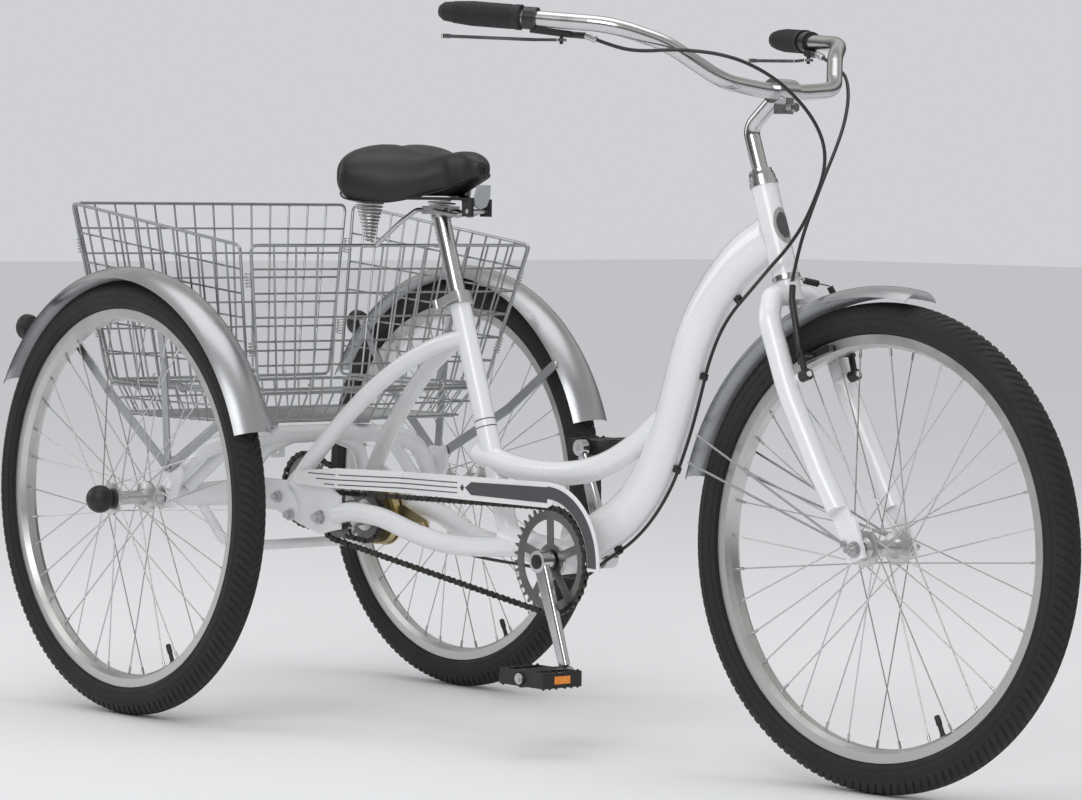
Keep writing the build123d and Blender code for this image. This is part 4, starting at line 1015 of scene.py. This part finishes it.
# bolts that hold the fenders
STAY_KNEE_RADIUS = 336
STAY_KNEE_Y = 295
fender_bolts = Form()
for side, sign in SIDES:
    for angle in (131, 87, 37):
        outward = Vector((cos(radians(angle)), 0, sin(radians(angle))))
        knee = REAR_AXLE + outward * STAY_KNEE_RADIUS + ALONG_Y * sign * STAY_KNEE_Y
        fender_bolts.lathe(knee, -ALONG_Y * sign, [(5, -1), (5, 3.2), (3.4, 5.2)], 20)
fender_bolts.make("fender_bolts", "zinc_steel", "frame")

# round rear reflectors on the fenders
REFLECTOR_ANGLE = radians(137.5)
FENDER_RADIUS = 350
REFLECTOR_LIFT = 20
for side, sign in SIDES:
    outward = Vector((cos(REFLECTOR_ANGLE), 0, sin(REFLECTOR_ANGLE)))
    seat = REAR_AXLE + ALONG_Y * sign * HALF_TRACK + outward * FENDER_RADIUS
    centre = seat + outward * REFLECTOR_LIFT
    housing = Form()
    housing.rod([seat, centre], [5, 5], 16)
    housing.lathe(centre, -ALONG_X, [(9, -13), (17, -8), (20, 0), (20.5, 7), (19, 8)], 36)
    housing.make(f"rear_reflector_{side}", "black_plastic", "frame")
    glass = Form()
    glass.lathe(centre, -ALONG_X, [(18.4, 7.2), (18.4, 8.6), (14, 9.8), (6, 10.4)], 36)
    glass.make(f"rear_lens_{side}", "black_plastic", "frame", RED)

# ---------------------------------------------------------------- cranks and pedals
crank_way = Vector((sin(radians(CRANK_ANGLE)), 0, -cos(radians(CRANK_ANGLE))))
crank_caps = Form()
for side, sign in SIDES:
    outward = ALONG_Y * sign
    crank_caps.lathe(
        CRANK_CENTRE, outward, [(7.9, 62.2), (7.9, 70), (10.6, 72), (10.6, 73.4), (8.5, 75), (3, 75.6)], 28
    )
crank_caps.make("crank_caps", "black_plastic", "crank")
for side, sign in SIDES:
    eye = CRANK_CENTRE - crank_way * CRANK_LENGTH * sign
    reflectors = Form()
    for end in (-1, 1):
        spot = eye + Vector((end * 47.3, sign * PEDAL_Y, 0))
        reflectors.block(spot, ALONG_Y, ALONG_Z, (29.4, 11.4, 1.9), 0.6)
    reflectors.make(f"pedal_lens_{side}", "black_plastic", f"{side}_pedal", AMBER, smooth=False)
    cleats = Form()
    for x in (-44, 44):
        for y in (-32, -20, -8, 8, 20, 32):
            for level in (-1, 1):
                cleats.lathe(
                    eye + Vector((x, sign * PEDAL_Y + y, level * 10.9)), ALONG_Z * level,
                    [(2.2, 0), (2.2, 1.2), (1.2, 2.4)], 10
                )
    cleats.make(f"pedal_cleats_{side}", "black_plastic", f"{side}_pedal")

# ---------------------------------------------------------------- handlebar trim
RIB_COUNT = 17
RIB_START = 14
RIB_PITCH = 5
GRIP_RADIUS = 14.5
GRIP_SWELL = 2.0
GRIP_SWELL_LENGTH = 26
for side, sign in SIDES:
    tip = steered(on_side(BAR_END, sign))
    inward = STEER @ on_side(BAR_INWARD, sign)
    ribs = Form()
    for number in range(RIB_COUNT):
        along = RIB_START + number * RIB_PITCH
        skin = GRIP_RADIUS + GRIP_SWELL * min(1.0, (along + 1 - RIB_START) / GRIP_SWELL_LENGTH)
        low, high = skin - 0.6, skin + 0.7
        ribs.ring(
            tip, inward, [(low, along), (high, along + 1), (high, along + 2.6), (low, along + 3.6)], 36
        )
    ribs.make(f"grip_ribs_{side}", "grip_rubber", "steering")

clamp_bolt = Form()
clamp_bolt.lathe(
    steered(BAR_CENTRE + Vector((-20, -12, -6))), STEER @ -ALONG_Y, [(4.5, 0), (4.5, 5), (3, 5.6)], 6
)
clamp_bolt.make("bar_clamp_bolt", "zinc_steel", "steering")


def on_blade(along, sign):
    """A point inside a fork blade where it starts to sweep forward."""
    return at_fork(along, 8 + 22 * (along - 300) / 120, sign * 60)


fork_bands = Form()
for side, sign in SIDES:
    for along in (300, 309):
        spot = on_blade(along, sign)
        way = (on_blade(along + 40, sign) - spot).normalized()
        fork_bands.ring(spot, way, [(13.2, 0), (13.4, 0), (13.4, 1.5), (13.2, 1.5)], 32)
fork_bands.make("fork_bands", "silver_paint", "steering", TRIM_GREY)

# the front brake's noodle and boot
noodle = Form()
noodle.rod(flowing([at_fork(*NOODLE_TOP), at_fork(147, 42, -24), at_fork(150, 42, -12)], 6), 2.2, 10)
noodle.make("brake_noodle", "polished_metal", "steering")
boot = Form()
boot_start = at_fork(151, 42, -12)
boot_way = (at_fork(157, 41, 34) - boot_start).normalized()
boot.lathe(boot_start, boot_way, [(3.6 if k % 2 else 4.8, 2.4 * k) for k in range(11)], 18)
boot.rod([boot_start, at_fork(157, 41, 36)], 0.9, 6)
boot.make("brake_boot", "black_plastic", "steering")

# ---------------------------------------------------------------- floor, light and camera
bpy.ops.mesh.primitive_plane_add(size=60, location=(0, 0, 0))
floor = bpy.context.object
floor.name = "floor"
floor.data.materials.append(new_material("pale_floor", (0.86, 0.86, 0.86), 0.75)[0])

world = bpy.data.worlds.new("studio")
bpy.context.scene.world = world
world.use_nodes = True
STUDIO_LIGHT = 0.66
studio = world.node_tree
plain = studio.nodes["Background"]
plain.inputs["Color"].default_value = (0.95, 0.965, 1.0, 1)
plain.inputs["Strength"].default_value = STUDIO_LIGHT
# what shiny metal mirrors: a bright ceiling, a dark wall round the set, a pale floor
mirrored = studio.nodes.new("ShaderNodeBackground")
mirrored.inputs["Strength"].default_value = STUDIO_LIGHT
bands = studio.nodes.new("ShaderNodeValToRGB")
MIRRORED_BANDS = (
    (0.0, 0.55), (0.40, 0.62), (0.47, 0.16), (0.55, 0.12), (0.62, 0.34), (0.72, 0.95), (0.86, 0.5),
    (1.0, 1.25),
)
for number, (place, tone) in enumerate(MIRRORED_BANDS):
    if number < 2:
        stop = bands.color_ramp.elements[number]
        stop.position = place
    else:
        stop = bands.color_ramp.elements.new(place)
    stop.color = (tone, 0.98 * tone, 0.95 * tone, 1)
direction = studio.nodes.new("ShaderNodeTexCoord")
parts = studio.nodes.new("ShaderNodeSeparateXYZ")
height = studio.nodes.new("ShaderNodeMapRange")
height.inputs["From Min"].default_value = -1.0
ray = studio.nodes.new("ShaderNodeLightPath")
choice = studio.nodes.new("ShaderNodeMixShader")
studio.links.new(direction.outputs["Generated"], parts.inputs["Vector"])
studio.links.new(parts.outputs["Z"], height.inputs["Value"])
studio.links.new(height.outputs["Result"], bands.inputs["Fac"])
studio.links.new(bands.outputs["Color"], mirrored.inputs["Color"])
studio.links.new(ray.outputs["Is Glossy Ray"], choice.inputs["Fac"])
studio.links.new(plain.outputs["Background"], choice.inputs[1])
studio.links.new(mirrored.outputs["Background"], choice.inputs[2])
studio.links.new(choice.outputs["Shader"], studio.nodes["World Output"].inputs["Surface"])

SUBJECT = Vector((0.64, 0, 0.45))


def soft_box(name, place, size, power):
    """A rectangular area light turned towards the tricycle."""
    lamp = bpy.data.lights.new(name, "AREA")
    lamp.shape = "RECTANGLE"
    lamp.size, lamp.size_y = size
    lamp.energy = power
    light = bpy.data.objects.new(name, lamp)
    light.location = place
    light.rotation_euler = (SUBJECT - light.location).to_track_quat("-Z", "Y").to_euler()
    bpy.context.scene.collection.objects.link(light)


soft_box("key", Vector((3.2, -4.0, 3.6)), (2.6, 2.6), 75)
soft_box("overhead", Vector((0.4, 0.2, 4.2)), (4.0, 3.0), 42)
soft_box("side", Vector((-3.4, -2.6, 2.2)), (1.8, 2.6), 26)

# The camera stands where the photograph was taken from.
EYE = Vector((5.28163, -4.02625, 0.81010))
YAW, PITCH, ROLL = 0.862866593, 0.0505085925, 0.0115379295
LENS = 141.0
back = Vector((sin(YAW) * cos(PITCH), -cos(YAW) * cos(PITCH), sin(PITCH)))
right = Vector((cos(YAW), sin(YAW), 0))
up = back.cross(right)
camera_right = right * cos(ROLL) + up * sin(ROLL)
camera_up = up * cos(ROLL) - right * sin(ROLL)
camera = bpy.data.objects.new("camera", bpy.data.cameras.new("camera"))
camera.data.lens = LENS
camera.data.sensor_width = 36.0
camera.matrix_world = Matrix((
    (camera_right.x, camera_up.x, back.x, EYE.x),
    (camera_right.y, camera_up.y, back.y, EYE.y),
    (camera_right.z, camera_up.z, back.z, EYE.z),
    (0, 0, 0, 1),
))
bpy.context.scene.collection.objects.link(camera)
bpy.context.scene.camera = camera
bpy.context.scene.view_settings.view_transform = "Standard"
